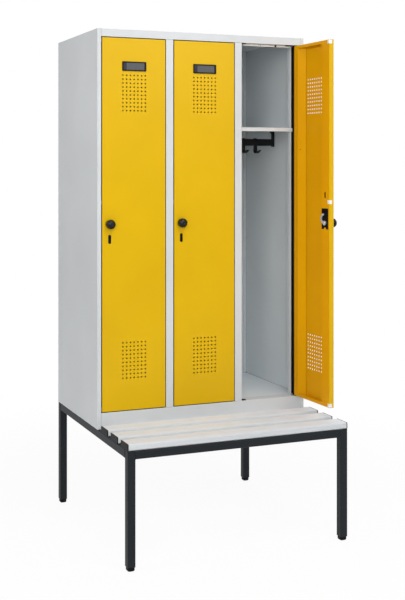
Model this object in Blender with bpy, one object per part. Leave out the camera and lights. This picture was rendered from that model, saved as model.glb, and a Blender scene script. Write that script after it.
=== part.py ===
# Locker with bench: three tall lockers on a tube frame that reaches forward under a slatted seat.
# Metres, +Z up, front towards -Y, origin on the floor under the middle of the footprint.

import math

import bmesh
import bpy
from mathutils import Vector

# Overall sizes
cabinet_width = 0.900
cabinet_depth = 0.500
cabinet_height = 1.530
frame_height = 0.425
bench_reach = 0.320
compartments = 3

# Sheet steel and fits
sheet = 0.0012
fit_gap = 0.0003
cut_overrun = 0.002

# Cabinet front: stiles, aprons and the rebate that the doors close into
stile_width = 0.0155
top_apron = 0.030
bottom_apron = 0.062
apron_hem = 0.018
door_gap = 0.003
door_thickness = 0.020
stop_gap = 0.0011
top_stop_height = 0.006
strike_lip = 0.008
hinge_channel_width = 0.030
hinge_channel_depth = 0.046
hinge_lip = 0.011
rear_flange = 0.015

# Hat shelves
hat_space_height = 0.338
shelf_front_flange = 0.015
shelf_rear_flange = 0.012
shelf_notch_gap = 0.0005
door_swing_gap = 0.0008

# Hook rails and their sliding hooks
rail_depth = 0.210
rail_drop = 0.041
rail_height = 0.029
rail_thickness = 0.003
rail_end_clearance = 0.0185
rail_strap_width = 0.015
rail_strap_drop = 0.004
rail_foot_length = 0.011
rail_foot_thickness = 0.003
rail_gusset_height = 0.010
hook_offsets = (-0.019, 0.038)
hook_loop_width = 0.013
hook_width = 0.018
hook_tip_width = 0.012
hook_thickness = 0.0025
hook_clearance = 0.0004
hook_back_drop = 0.018
hook_shoulder = 0.004
hook_shank_drop = 0.0213
hook_bend_radius = 0.0095
hook_bend_angle = 110.0
hook_prong_length = 0.030
hook_bend_steps = 7

# Doors
door_open_angle = 92.0
lock_flange = 0.054
hinge_flange = 0.037
hinge_ramp = 0.035
end_lip = 0.013
pivot_inset = 0.010
pivot_depth = 0.0075
pivot_radius = 0.003
pivot_reach = 0.009
pivot_clearance = 0.0004

# Door perforations, two fields of square holes
hole_size = 0.005
hole_columns = 7
hole_rows = 10
hole_column_pitch = 0.0155
hole_row_pitch = 0.0151
top_field_drop = 0.211
bottom_field_rise = 0.192

# Label holders
label_width = 0.099
label_height = 0.035
label_thickness = 0.003
label_rim = 0.003
label_recess = 0.0014
label_drop = 0.108

# Turn knob, lock case and latch
knob_rise = 0.717
knob_edge_distance = 0.030
knob_radius = 0.018
knob_reach = 0.028
knob_dome = 0.014
knob_foot_share = 0.9
spindle_radius = 0.004
spindle_clearance = 0.0005
spindle_end_reach = 0.0015
case_free_side = 0.0214
case_hinge_side = 0.0226
case_below = 0.024
case_above = 0.057
case_proud = 0.0005
case_cut_gap = 0.0005
case_notch_radius = 0.008
latch_gap = 0.0004
latch_thickness = 0.0025
latch_hub_radius = 0.009
latch_arm_radius = 0.017
latch_arm_width = 0.008
latch_arm_offset = 0.003
latch_arm_start = -105.0
latch_arm_end = 112.0
latch_steps = 12
keeper_slot_width = 0.012
keeper_slot_height = 0.035
keeper_slot_drop = 0.058
inner_slot_width = 0.009
inner_slot_height = 0.025
inner_slot_rise = 0.109
slot_steps = 5

# Bench frame of square tube, with plastic feet
tube = 0.030
tube_wall = 0.002
tube_corner = 0.003
tube_steps = 2
foot_reach = 0.015
foot_inset = 0.0015
foot_round = 0.006
foot_stem = 0.018
foot_steps = 3
stem_clearance = 0.0004

# Bench slats with end caps
slat_count = 3
slat_depth = 0.070
slat_height = 0.024
slat_wall = 0.0025
slat_corner = 0.004
slat_steps = 3
slat_rear_gap = 0.041
cap_thickness = 0.0025
cap_stub = 0.008
cap_overlap = 0.0003

# Facets of round pieces
fine_segments = 24
rod_segments = 16
dome_steps = 5
smooth_angle = 30.0

# Places worked out from the sizes above
overall_depth = cabinet_depth + bench_reach
bench_front = -overall_depth / 2
cabinet_front = bench_front + bench_reach
cabinet_base = frame_height + fit_gap
cabinet_top = frame_height + cabinet_height
body_top = cabinet_top - sheet - fit_gap
half_width = cabinet_width / 2
pitch = cabinet_width / compartments
opening_width = pitch - 2 * stile_width
opening_bottom = frame_height + bottom_apron
opening_top = cabinet_top - top_apron
door_width = opening_width - 2 * door_gap
door_bottom = opening_bottom + door_gap
door_top = opening_top - door_gap
shelf_height = opening_top - hat_space_height
rail_top = shelf_height - rail_drop
knob_height = door_bottom + knob_rise
label_centre_height = door_top - label_drop
panel_rear = cabinet_depth - 2 * sheet - 2 * fit_gap
wall_inside = half_width - sheet
stop_front = door_thickness + stop_gap
rebate_depth = stop_front - fit_gap
channel_rear = hinge_channel_depth + sheet + fit_gap
knob_local_x = pivot_inset - door_width + knob_edge_distance
door_front_local = -pivot_depth
case_front = door_front_local + sheet + fit_gap
case_back = door_front_local + door_thickness + case_proud
latch_front = door_front_local + stop_front + sheet + latch_gap


# Materials

def linear(channel):
    share = channel / 255
    if share <= 0.04045:
        return share / 12.92
    return ((share + 0.055) / 1.055) ** 2.4


def painted(name, red, green, blue, roughness, metallic):
    material = bpy.data.materials.new(name)
    material.use_nodes = True
    shader = material.node_tree.nodes["Principled BSDF"]
    colour = (linear(red), linear(green), linear(blue), 1.0)
    shader.inputs["Base Color"].default_value = colour
    shader.inputs["Roughness"].default_value = roughness
    shader.inputs["Metallic"].default_value = metallic
    material.diffuse_color = colour
    return material


# Outlines

def sheet_outline(path):
    """Closed outline of a sheet folded along a path, its thickness on the path's left."""
    points = [Vector(point) for point in path]
    normals = []
    for start, end in zip(points, points[1:]):
        along = (end - start).normalized()
        normals.append(Vector((-along.y, along.x)))
    inner = [points[0] + normals[0] * sheet]
    for point, before, after in zip(points[1:], normals, normals[1:]):
        inner.append(point + (before + after) * (sheet / (1 + before.dot(after))))
    inner.append(points[-1] + normals[-1] * sheet)
    return points + inner[::-1]


def band_outline(path, thickness):
    """Closed outline of a bar bent along a path, its thickness centred on the path."""
    points = [Vector(point) for point in path]
    left = []
    right = []
    for index, point in enumerate(points):
        before = points[max(index - 1, 0)]
        after = points[min(index + 1, len(points) - 1)]
        along = (after - before).normalized()
        normal = Vector((-along.y, along.x)) * (thickness / 2)
        left.append(point + normal)
        right.append(point - normal)
    return right + left[::-1]


def arc(centre, radius, start, end, steps):
    points = []
    for step in range(steps + 1):
        angle = math.radians(start + (end - start) * step / steps)
        offset = Vector((math.cos(angle), math.sin(angle))) * radius
        points.append(Vector(centre) + offset)
    return points


def rounded_rectangle(width, height, radius, steps):
    across = width / 2 - radius
    up = height / 2 - radius
    corners = ((across, up, 0), (-across, up, 90), (-across, -up, 180), (across, -up, 270))
    points = []
    for x, y, start in corners:
        points += arc((x, y), radius, start, start + 90, steps)
    return points


def slot_outline(width, height):
    radius = width / 2
    straight = height / 2 - radius
    upper = arc((0, straight), radius, 0, 180, slot_steps)
    lower = arc((0, -straight), radius, 180, 360, slot_steps)
    return upper + lower


def circle_outline(radius, segments):
    return arc((0, 0), radius, 0, 360, segments)[:-1]


def moved(outline, x, y):
    return [Vector(point) + Vector((x, y)) for point in outline]


# Solids

def placed(point, level, axis):
    if axis == "X":
        return Vector((level, point[0], point[1]))
    if axis == "Y":
        return Vector((point[0], level, point[1]))
    return Vector((point[0], point[1], level))


def finish_mesh(shape, name):
    bmesh.ops.recalc_face_normals(shape, faces=shape.faces)
    mesh = bpy.data.meshes.new(name)
    shape.to_mesh(mesh)
    shape.free()
    return mesh


def add_loft(shape, rings):
    """Walls between equal rings of points, with a flat face on the first and the last."""
    loops = [[shape.verts.new(point) for point in ring] for ring in rings]
    count = len(loops[0])
    for near, far in zip(loops, loops[1:]):
        for index in range(count):
            following = (index + 1) % count
            shape.faces.new((near[index], near[following], far[following], far[index]))
    shape.faces.new(loops[0][::-1])
    shape.faces.new(loops[-1])


def prism(name, outline, low, high, axis):
    shape = bmesh.new()
    add_loft(shape, [[placed(point, level, axis) for point in outline] for level in (low, high)])
    return finish_mesh(shape, name)


def strap_mesh(name, path, widths, thickness):
    """A flat bar bent along a path of (y, z) points, with its width along X at each point."""
    outline = band_outline(path, thickness)
    near = outline[:len(path)]
    far = outline[len(path):][::-1]
    shape = bmesh.new()
    rings = []
    for inner, outer, width in zip(near, far, widths):
        low = -width / 2
        high = width / 2
        corners = ((inner, low), (inner, high), (outer, high), (outer, low))
        rings.append([placed(point, level, "X") for point, level in corners])
    add_loft(shape, rings)
    return finish_mesh(shape, name)


def box(name, low, high):
    outline = ((low[0], low[1]), (high[0], low[1]), (high[0], high[1]), (low[0], high[1]))
    return prism(name, outline, low[2], high[2], "Z")


def pipe(name, outer, inner, low, high, axis):
    """An open-ended tube between two outlines with equal numbers of points."""
    shape = bmesh.new()
    rings = []
    for outline, level in ((outer, low), (outer, high), (inner, high), (inner, low)):
        rings.append([shape.verts.new(placed(point, level, axis)) for point in outline])
    count = len(outer)
    for near, far in zip(rings, rings[1:] + rings[:1]):
        for index in range(count):
            following = (index + 1) % count
            shape.faces.new((near[index], near[following], far[following], far[index]))
    return finish_mesh(shape, name)


def turned(name, profile, segments):
    """A solid turned about Y from (radius, y) points whose first and last radius is zero."""
    shape = bmesh.new()
    first = shape.verts.new((0, profile[0][1], 0))
    last = shape.verts.new((0, profile[-1][1], 0))
    rings = []
    for radius, level in profile[1:-1]:
        outline = circle_outline(radius, segments)
        rings.append([shape.verts.new(placed(point, level, "Y")) for point in outline])
    for index in range(segments):
        following = (index + 1) % segments
        shape.faces.new((first, rings[0][index], rings[0][following]))
        shape.faces.new((last, rings[-1][following], rings[-1][index]))
        for near, far in zip(rings, rings[1:]):
            shape.faces.new((near[index], far[index], far[following], near[following]))
    return finish_mesh(shape, name)


def gathered(name, meshes):
    """One mesh that holds several solids that don't touch, for cutters."""
    shape = bmesh.new()
    for mesh in meshes:
        shape.from_mesh(mesh)
    return finish_mesh(shape, name)


def combined(mesh, tools, operation):
    """The mesh after a Boolean with each tool in turn."""
    target = bpy.data.objects.new(mesh.name, mesh)
    bpy.context.collection.objects.link(target)
    helpers = []
    for tool in tools:
        helper = bpy.data.objects.new(tool.name, tool)
        helper.hide_render = True
        helper.display_type = "WIRE"
        bpy.context.collection.objects.link(helper)
        helpers.append(helper)
        modifier = target.modifiers.new(tool.name, "BOOLEAN")
        modifier.operation = operation
        modifier.solver = "EXACT"
        modifier.object = helper
    depsgraph = bpy.context.evaluated_depsgraph_get()
    result = bpy.data.meshes.new_from_object(target.evaluated_get(depsgraph))
    for temporary in [target] + helpers:
        bpy.data.objects.remove(temporary)
    result.name = mesh.name
    return result


def shaded_smooth(mesh):
    mesh.shade_smooth()
    mesh.set_sharp_from_angle(angle=math.radians(smooth_angle))
    return mesh


def add_part(name, mesh, material, location=(0, 0, 0), parent=None):
    part = bpy.data.objects.new(name, mesh)
    if not mesh.materials:
        mesh.materials.append(material)
    part.location = location
    part.parent = parent
    bpy.context.collection.objects.link(part)
    return part


def add_empty(name, location, parent=None):
    empty = bpy.data.objects.new(name, None)
    empty.location = location
    empty.parent = parent
    bpy.context.collection.objects.link(empty)
    return empty


# Cabinet carcass, drawn with its front face at y = 0

def compartment_centre(index):
    return -half_width + pitch * (index + 0.5)


def lock_side_path(face, outward):
    """Fold path of a rebate that takes a door's lock edge, from the strike lip to the face."""
    lip = face - outward * strike_lip
    return [(lip, stop_front), (face, stop_front), (face, 0)]


def hinge_side_path(face, outward):
    """Fold path of the channel that a door's hinge edge swings in, from its lip to the face."""
    channel = face - outward * hinge_channel_width
    lip = channel - outward * hinge_lip
    bottom = hinge_channel_depth
    return [(lip, stop_front), (channel, stop_front), (channel, bottom), (face, bottom), (face, 0)]


def lock_notch(face, outward):
    """Cutter that lets the shelf's front flange through a strike lip."""
    ends = (face + outward * sheet / 2, face - outward * (strike_lip + cut_overrun))
    return shelf_notch(ends)


def hinge_notch(face, outward):
    """Cutter that lets the shelf's front flange through the lip of a hinge channel."""
    channel = face - outward * hinge_channel_width
    ends = (channel + outward * (sheet + cut_overrun), channel - outward * (hinge_lip + cut_overrun))
    return shelf_notch(ends)


def shelf_notch(ends):
    low = (min(ends), stop_front - cut_overrun, shelf_height - shelf_front_flange - shelf_notch_gap)
    high = (max(ends), stop_front + sheet + shelf_notch_gap, shelf_height + shelf_notch_gap)
    return box("shelf_notch", low, high)


def side_panel_mesh(name, side, rebate, notch):
    """Side wall with its folded stile. side is -1 on the left and 1 on the right."""
    outer = side * half_width
    path = rebate + [(outer, 0), (outer, cabinet_depth - sheet - fit_gap)]
    path.append((outer - side * rear_flange, cabinet_depth - sheet - fit_gap))
    if side > 0:
        outline = sheet_outline(path)
    else:
        outline = sheet_outline(path[::-1])
    panel = prism(name, outline, cabinet_base, body_top, "Z")
    return combined(panel, [notch], "DIFFERENCE")


def partition_mesh(name):
    """Post between two doors, with the partition wall joined to the back of its face."""
    hinge_face = -stile_width
    lock_face = stile_width
    hinge_half = hinge_side_path(hinge_face, 1)
    lock_half = lock_side_path(lock_face, -1)
    low = opening_bottom + fit_gap
    high = opening_top - fit_gap
    post = prism(name, sheet_outline(hinge_half + lock_half[::-1]), low, high, "Z")
    half = sheet / 2
    wall = box("wall", (-half, half, low), (half, panel_rear, high))
    head_low = (-half, channel_rear, high - sheet)
    head = box("head", head_low, (half, panel_rear, body_top))
    notches = gathered("notches", [hinge_notch(hinge_face, 1), lock_notch(lock_face, -1)])
    return combined(combined(post, [wall, head], "UNION"), [notches], "DIFFERENCE")


def top_panel_mesh():
    """Roof sheet with the top apron, its hem and a door stop over each compartment."""
    roof_low = (-half_width, 0, cabinet_top - sheet)
    roof = box("top_panel", roof_low, (half_width, cabinet_depth, cabinet_top))
    apron_half = half_width - stile_width - fit_gap
    path = [(rebate_depth, opening_top), (0, opening_top), (0, cabinet_top)]
    apron = prism("apron", sheet_outline(path[::-1]), -apron_half, apron_half, "X")
    stops = []
    for index in range(compartments):
        centre = compartment_centre(index)
        left = centre - opening_width / 2 + strike_lip + fit_gap
        right = centre + opening_width / 2 - hinge_channel_width - hinge_lip - fit_gap
        stop_end = (stop_front, opening_top - top_stop_height)
        fold = [(rebate_depth - sheet, opening_top), (stop_front, opening_top), stop_end]
        stops.append(prism("stop", sheet_outline(fold), left, right, "X"))
    return cut_pivot_holes(combined(roof, [apron] + stops, "UNION"), opening_top)


def bottom_panel_mesh():
    """Floor sheet with the bottom apron and its hem, cut round the folded stiles."""
    apron_half = half_width - stile_width - fit_gap
    hem_height = frame_height + fit_gap
    path = [(rebate_depth, opening_bottom), (0, opening_bottom), (0, hem_height), (apron_hem, hem_height)]
    apron = prism("bottom_panel", sheet_outline(path), -apron_half, apron_half, "X")
    floor_low = opening_bottom - sheet
    left = -half_width + stile_width + strike_lip + fit_gap
    right = half_width - stile_width - hinge_channel_width - hinge_lip - fit_gap
    neck = box("neck", (left, sheet, floor_low), (right, channel_rear + sheet, opening_bottom))
    floor_half = wall_inside - fit_gap
    floor = box("floor", (-floor_half, channel_rear, floor_low), (floor_half, panel_rear, opening_bottom))
    return cut_pivot_holes(combined(apron, [neck, floor], "UNION"), opening_bottom)


def cut_pivot_holes(mesh, level):
    """Holes for the ends of the door pivot rods."""
    radius = pivot_radius + pivot_clearance
    cutters = []
    for index in range(compartments):
        outline = moved(circle_outline(radius, rod_segments), pivot_x(index), pivot_depth)
        low = level - sheet - cut_overrun
        cutters.append(prism("pivot_hole", outline, low, level + sheet + cut_overrun, "Z"))
    return combined(mesh, [gathered("pivot_holes", cutters)], "DIFFERENCE")


def rear_panel_mesh():
    low = (-half_width, cabinet_depth - sheet, cabinet_base)
    return box("rear_panel", low, (half_width, cabinet_depth, body_top))


def shelf_mesh(index):
    centre = compartment_centre(index)
    left, right = compartment_walls(index)
    fold = [(panel_rear, shelf_height - shelf_rear_flange), (panel_rear, shelf_height)]
    fold.append((channel_rear, shelf_height))
    shelf = prism("hat_shelf", sheet_outline(fold), left - centre, right - centre, "X")
    underside = shelf_height - sheet
    half = opening_width / 2
    neck_left = -half + strike_lip + fit_gap
    neck_right = half - hinge_channel_width - hinge_lip - fit_gap
    neck_low = (neck_left, stop_front + sheet / 2, underside)
    neck = box("neck", neck_low, (neck_right, channel_rear + sheet, shelf_height))
    swing_radius = math.hypot(pivot_inset, door_thickness - pivot_depth)
    swing_reach = math.sqrt(swing_radius ** 2 - (stop_front - pivot_depth) ** 2)
    flange_right = half - door_gap - pivot_inset - swing_reach - door_swing_gap
    flange_low = (-half + fit_gap, stop_front, shelf_height - shelf_front_flange)
    flange = box("flange", flange_low, (flange_right, stop_front + sheet, shelf_height))
    return combined(shelf, [neck, flange], "UNION")


def compartment_walls(index):
    """Inner faces of the walls beside a compartment, less the fitting gap."""
    centre = compartment_centre(index)
    left = centre - pitch / 2 + sheet / 2 + fit_gap
    right = centre + pitch / 2 - sheet / 2 - fit_gap
    if index == 0:
        left = -wall_inside + fit_gap
    if index == compartments - 1:
        right = wall_inside - fit_gap
    return left, right


def hook_rail_mesh():
    """Flat rail with a strap at each end that hangs from the shelf by a gusseted foot."""
    half = pitch / 2 - rail_end_clearance
    strap = half - rail_strap_width
    foot = strap - rail_foot_length
    bottom = rail_top - rail_height
    seat = shelf_height - sheet - fit_gap
    foot_bottom = seat - rail_foot_thickness
    right_half = [
        (strap, bottom),
        (strap, bottom - rail_strap_drop),
        (half, bottom - rail_strap_drop),
        (half, seat),
        (foot, seat),
        (foot, foot_bottom),
        (strap, foot_bottom - rail_gusset_height),
        (strap, rail_top),
    ]
    left_half = [(-x, z) for x, z in right_half[::-1]]
    return prism("hook_rail", right_half + left_half, -rail_thickness / 2, rail_thickness / 2, "Y")


def hook_mesh():
    """Bent hook that sits over the rail and slides along it, wider below the rail."""
    reach = rail_thickness / 2 + hook_clearance + hook_thickness / 2
    top = rail_top + hook_clearance + hook_thickness / 2
    rail_bottom = rail_top - rail_height
    shank_end = rail_bottom - hook_shank_drop
    loop = [(reach, rail_top - hook_back_drop)]
    loop += arc((reach / 2, top - reach / 2), reach / 2, 0, 90, 2)
    loop += arc((-reach / 2, top - reach / 2), reach / 2, 90, 180, 2)
    loop.append((-reach, rail_bottom))
    bend_centre = (-reach - hook_bend_radius, shank_end)
    bend = [(-reach, rail_bottom - hook_shoulder)]
    bend += arc(bend_centre, hook_bend_radius, 0, -hook_bend_angle, hook_bend_steps)
    slope = math.radians(hook_bend_angle)
    prong = Vector((-math.sin(slope), -math.cos(slope))) * hook_prong_length
    tip = Vector(bend[-1]) + prong
    widths = [hook_loop_width] * len(loop) + [hook_width] * len(bend) + [hook_tip_width]
    return strap_mesh("coat_hook", loop + bend + [tip], widths, hook_thickness)


# Doors, drawn closed with their origin on the pivot axis

def pivot_x(index):
    return compartment_centre(index) + opening_width / 2 - door_gap - pivot_inset


def door_shell_mesh():
    """Folded door skin with its flanges, end folds, perforations and lock holes."""
    hinge_edge = pivot_inset
    free_edge = hinge_edge - door_width
    front = door_front_local
    back = front + door_thickness
    path = [
        (hinge_edge - hinge_flange - hinge_ramp, front + 2 * sheet + fit_gap),
        (hinge_edge - hinge_flange, back),
        (hinge_edge, back),
        (hinge_edge, front),
        (free_edge, front),
        (free_edge, back),
        (free_edge + lock_flange, back),
    ]
    shell = prism("door_shell", sheet_outline(path[::-1]), door_bottom, door_top, "Z")
    folds = []
    for end, inward in ((door_bottom, 1), (door_top, -1)):
        plate = sorted((end, end + inward * sheet))
        folds.append(box("end_fold", (free_edge, front, plate[0]), (hinge_edge, back, plate[1])))
        lip = sorted((end, end + inward * end_lip))
        lip_low = (free_edge + lock_flange - sheet, back - sheet, lip[0])
        folds.append(box("end_lip", lip_low, (hinge_edge - hinge_flange + sheet, back, lip[1])))
    shell = combined(shell, folds, "UNION")
    cuts = gathered("door_cuts", [perforation_cutter(), lock_cutter(), rod_cutter()])
    return combined(shell, [cuts], "DIFFERENCE")


def perforation_cutter():
    """Two fields of square holes through the skin."""
    centre = pivot_inset - door_width / 2
    front = door_front_local
    half = hole_size / 2
    cutters = []
    for field in (door_top - top_field_drop, door_bottom + bottom_field_rise):
        for column in range(hole_columns):
            for row in range(hole_rows):
                x = centre + (column - (hole_columns - 1) / 2) * hole_column_pitch
                z = field + (row - (hole_rows - 1) / 2) * hole_row_pitch
                low = (x - half, front - cut_overrun, z - half)
                high = (x + half, front + sheet + cut_overrun, z + half)
                cutters.append(box("hole", low, high))
    return gathered("perforations", cutters)


def lock_cutter():
    """Spindle hole and keeper slot in the skin, lock case window and slot in the flange."""
    front = door_front_local
    back = front + door_thickness
    hole = circle_outline(spindle_radius + spindle_clearance, rod_segments)
    hole = moved(hole, knob_local_x, knob_height)
    spindle = prism("spindle_hole", hole, front - cut_overrun, front + sheet + cut_overrun, "Y")
    keeper = slot_outline(keeper_slot_width, keeper_slot_height)
    keeper = moved(keeper, knob_local_x, knob_height - keeper_slot_drop)
    keeper = prism("keeper_slot", keeper, front - cut_overrun, front + sheet + cut_overrun, "Y")
    inner = slot_outline(inner_slot_width, inner_slot_height)
    inner = moved(inner, knob_local_x, knob_height + inner_slot_rise)
    inner = prism("inner_slot", inner, back - sheet - cut_overrun, back + cut_overrun, "Y")
    window = moved(case_outline(case_cut_gap), knob_local_x, knob_height)
    window = prism("case_window", window, back - sheet - cut_overrun, back + cut_overrun, "Y")
    return gathered("lock_holes", [spindle, keeper, inner, window])


def rod_cutter():
    """Holes through both end folds for the pivot rod."""
    hole = circle_outline(pivot_radius + pivot_clearance, rod_segments)
    cutters = []
    for end in (door_bottom, door_top):
        reach = sheet + cut_overrun
        cutters.append(prism("rod_hole", hole, end - reach, end + reach, "Z"))
    return gathered("rod_holes", cutters)


def pivot_rod_mesh():
    """Rod through the hinge edge of the door, its ends in the floor and the top apron."""
    low = door_bottom - pivot_reach
    high = door_top + pivot_reach
    return prism("pivot_rod", circle_outline(pivot_radius, rod_segments), low, high, "Z")


def label_holder_mesh():
    half_x = label_width / 2
    half_z = label_height / 2
    low = (-half_x, -label_thickness, -half_z)
    body = box("label_holder", low, (half_x, 0, half_z))
    inner_x = half_x - label_rim
    inner_z = half_z - label_rim
    front = -label_thickness
    recess_low = (-inner_x, front - cut_overrun, -inner_z)
    recess = box("recess", recess_low, (inner_x, front + label_recess, inner_z))
    return combined(body, [recess], "DIFFERENCE")


def case_outline(growth):
    """Lock case's outline about the knob's axis, with a half-round notch in its lower end."""
    left = -case_free_side - growth
    right = case_hinge_side + growth
    bottom = -case_below - growth
    top = case_above + growth
    notch = arc((0, bottom), case_notch_radius - growth, 180, 0, slot_steps)
    return [(left, bottom)] + notch + [(right, bottom), (right, top), (left, top)]


def lock_case_mesh():
    """Lock case inside the lock side of the door, drawn about the knob's axis."""
    case = prism("lock_case", case_outline(0), case_front, case_back, "Y")
    bore = circle_outline(spindle_radius + spindle_clearance, rod_segments)
    bore = prism("bore", bore, case_front - cut_overrun, case_back + cut_overrun, "Y")
    return combined(case, [bore], "DIFFERENCE")


def knob_mesh():
    """Domed knob with its spindle, drawn with the door's outer face at y = 0."""
    dome_start = knob_reach - knob_dome
    profile = []
    for point in arc((0, 0), 1, 90, 0, dome_steps):
        profile.append((max(point.x, 0) * knob_radius, -dome_start - point.y * knob_dome))
    spindle_end = latch_front - door_front_local + latch_thickness + spindle_end_reach
    profile.append((knob_radius * knob_foot_share, -fit_gap))
    profile.append((spindle_radius, -fit_gap))
    profile.append((spindle_radius, spindle_end))
    profile.append((0, spindle_end))
    return turned("knob", profile, fine_segments)


def latch_mesh():
    """Flat curved latch in its open position, with the spindle's hole in its hub."""
    hub_start = case_back + fit_gap - latch_front
    hub = prism("latch", circle_outline(latch_hub_radius, rod_segments), hub_start, latch_thickness, "Y")
    centre = (latch_arm_offset, latch_arm_radius)
    path = arc(centre, latch_arm_radius, latch_arm_start, latch_arm_end, latch_steps)
    arm = prism("arm", band_outline(path, latch_arm_width), 0, latch_thickness, "Y")
    bore = circle_outline(spindle_radius + spindle_clearance, rod_segments)
    bore = prism("bore", bore, hub_start - cut_overrun, latch_thickness + cut_overrun, "Y")
    return combined(combined(hub, [arm], "UNION"), [bore], "DIFFERENCE")


# Bench frame and seat

def tube_mesh(name, length, axis):
    """Square tube centred on its own axis, from zero to its length."""
    outer = rounded_rectangle(tube, tube, tube_corner, tube_steps)
    bore = tube - 2 * tube_wall
    inner = rounded_rectangle(bore, bore, tube_corner - tube_wall, tube_steps)
    return pipe(name, outer, inner, 0, length, axis)


def foot_mesh():
    """Plastic foot: a rounded pad below the tube and a stem inside it."""
    pad = tube - 2 * foot_inset
    stem = tube - 2 * tube_wall - 2 * stem_clearance
    corner = foot_round
    sections = []
    for step in range(foot_steps + 1):
        angle = math.radians(90 * step / foot_steps)
        inset = foot_round * (1 - math.sin(angle))
        sections.append((pad - 2 * inset, foot_round * (1 - math.cos(angle))))
    sections.append((pad, foot_reach - fit_gap))
    sections.append((stem, foot_reach - fit_gap))
    sections.append((stem, foot_reach + foot_stem))
    shape = bmesh.new()
    rings = []
    for size, level in sections:
        radius = corner * size / pad
        outline = rounded_rectangle(size, size, radius, tube_steps)
        rings.append([placed(point, level, "Z") for point in outline])
    add_loft(shape, rings)
    return finish_mesh(shape, "foot")


def slat_mesh():
    length = cabinet_width - 2 * (cap_thickness + fit_gap)
    outer = rounded_rectangle(slat_depth, slat_height, slat_corner, slat_steps)
    bore_depth = slat_depth - 2 * slat_wall
    bore_height = slat_height - 2 * slat_wall
    inner = rounded_rectangle(bore_depth, bore_height, slat_corner - slat_wall, slat_steps)
    return pipe("slat", outer, inner, -length / 2, length / 2, "X")


def cap_mesh(side):
    """End cap of a slat, with a stub that plugs into it. side is -1 on the left end."""
    rim_depth = slat_depth + 2 * cap_overlap
    rim_height = slat_height + 2 * cap_overlap
    rim = rounded_rectangle(rim_depth, rim_height, slat_corner + cap_overlap, slat_steps)
    stub_depth = slat_depth - 2 * slat_wall - 2 * stem_clearance
    stub_height = slat_height - 2 * slat_wall - 2 * stem_clearance
    stub = rounded_rectangle(stub_depth, stub_height, slat_corner - slat_wall, slat_steps)
    levels = ((rim, 0), (rim, -cap_thickness), (stub, -cap_thickness), (stub, -cap_thickness - cap_stub))
    shape = bmesh.new()
    add_loft(shape, [[placed(point, side * level, "X") for point in outline] for outline, level in levels])
    return finish_mesh(shape, "slat_cap")


# Assembly

def build_frame(steel, plastic):
    axis_inset = tube / 2
    left = -half_width + axis_inset
    front = bench_front + axis_inset
    rear = overall_depth / 2 - axis_inset
    rail_level = frame_height - axis_inset
    leg = shaded_smooth(tube_mesh("leg", frame_height - foot_reach, "Z"))
    foot = shaded_smooth(foot_mesh())
    for y, row in ((front, "front"), (rear, "rear")):
        for x, side in ((left, "left"), (-left, "right")):
            add_part(f"{row}_{side}_leg", leg, steel, (x, y, foot_reach))
            add_part(f"{row}_{side}_foot", foot, plastic, (x, y, 0))
    side_length = overall_depth - 2 * (tube + fit_gap)
    side_rail = shaded_smooth(tube_mesh("side_rail", side_length, "Y"))
    side_start = -side_length / 2
    for x, side in ((left, "left"), (-left, "right")):
        add_part(f"{side}_side_rail", side_rail, steel, (x, side_start, rail_level))
    cross_length = cabinet_width - 2 * (tube + fit_gap)
    cross_rail = shaded_smooth(tube_mesh("cross_rail", cross_length, "X"))
    middle = cabinet_front + axis_inset
    for y, name in ((front, "front_rail"), (middle, "middle_rail"), (rear, "rear_rail")):
        add_part(name, cross_rail, steel, (-cross_length / 2, y, rail_level))


def build_seat(finish, plastic):
    slat = shaded_smooth(slat_mesh())
    caps = [shaded_smooth(cap_mesh(side)) for side in (-1, 1)]
    level = frame_height + cap_overlap + fit_gap + slat_height / 2
    first = bench_front + slat_depth / 2 + cap_overlap
    last = cabinet_front - slat_rear_gap - slat_depth / 2
    for index in range(slat_count):
        y = first + (last - first) * index / (slat_count - 1)
        add_part(f"slat_{index + 1}", slat, finish, (0, y, level))
        for cap, side, word in zip(caps, (-1, 1), ("left", "right")):
            add_part(f"slat_{index + 1}_{word}_cap", cap, plastic, (side * half_width, y, level))


def build_carcass(paint):
    at_front = (0, cabinet_front, 0)
    inner_face = half_width - stile_width
    lock_path = lock_side_path(-inner_face, -1)
    hinge_path = hinge_side_path(inner_face, 1)
    left = side_panel_mesh("left_side_panel", -1, lock_path, lock_notch(-inner_face, -1))
    right = side_panel_mesh("right_side_panel", 1, hinge_path, hinge_notch(inner_face, 1))
    add_part("left_side_panel", left, paint, at_front)
    add_part("right_side_panel", right, paint, at_front)
    add_part("rear_panel", rear_panel_mesh(), paint, at_front)
    add_part("top_panel", top_panel_mesh(), paint, at_front)
    add_part("bottom_panel", bottom_panel_mesh(), paint, at_front)
    partition = partition_mesh("partition")
    for index in range(1, compartments):
        x = compartment_centre(index) - pitch / 2
        add_part(f"partition_{index}", partition, paint, (x, cabinet_front, 0))


def build_fittings(paint, rail_finish, hook_finish):
    rail = hook_rail_mesh()
    hook = shaded_smooth(hook_mesh())
    for index in range(compartments):
        x = compartment_centre(index)
        y = cabinet_front + rail_depth
        number = index + 1
        add_part(f"hat_shelf_{number}", shelf_mesh(index), paint, (x, cabinet_front, 0))
        add_part(f"hook_rail_{number}", rail, rail_finish, (x, y, 0))
        for offset, side in zip(hook_offsets, ("left", "right")):
            add_part(f"coat_hook_{number}_{side}", hook, hook_finish, (x + offset, y, 0))


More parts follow.
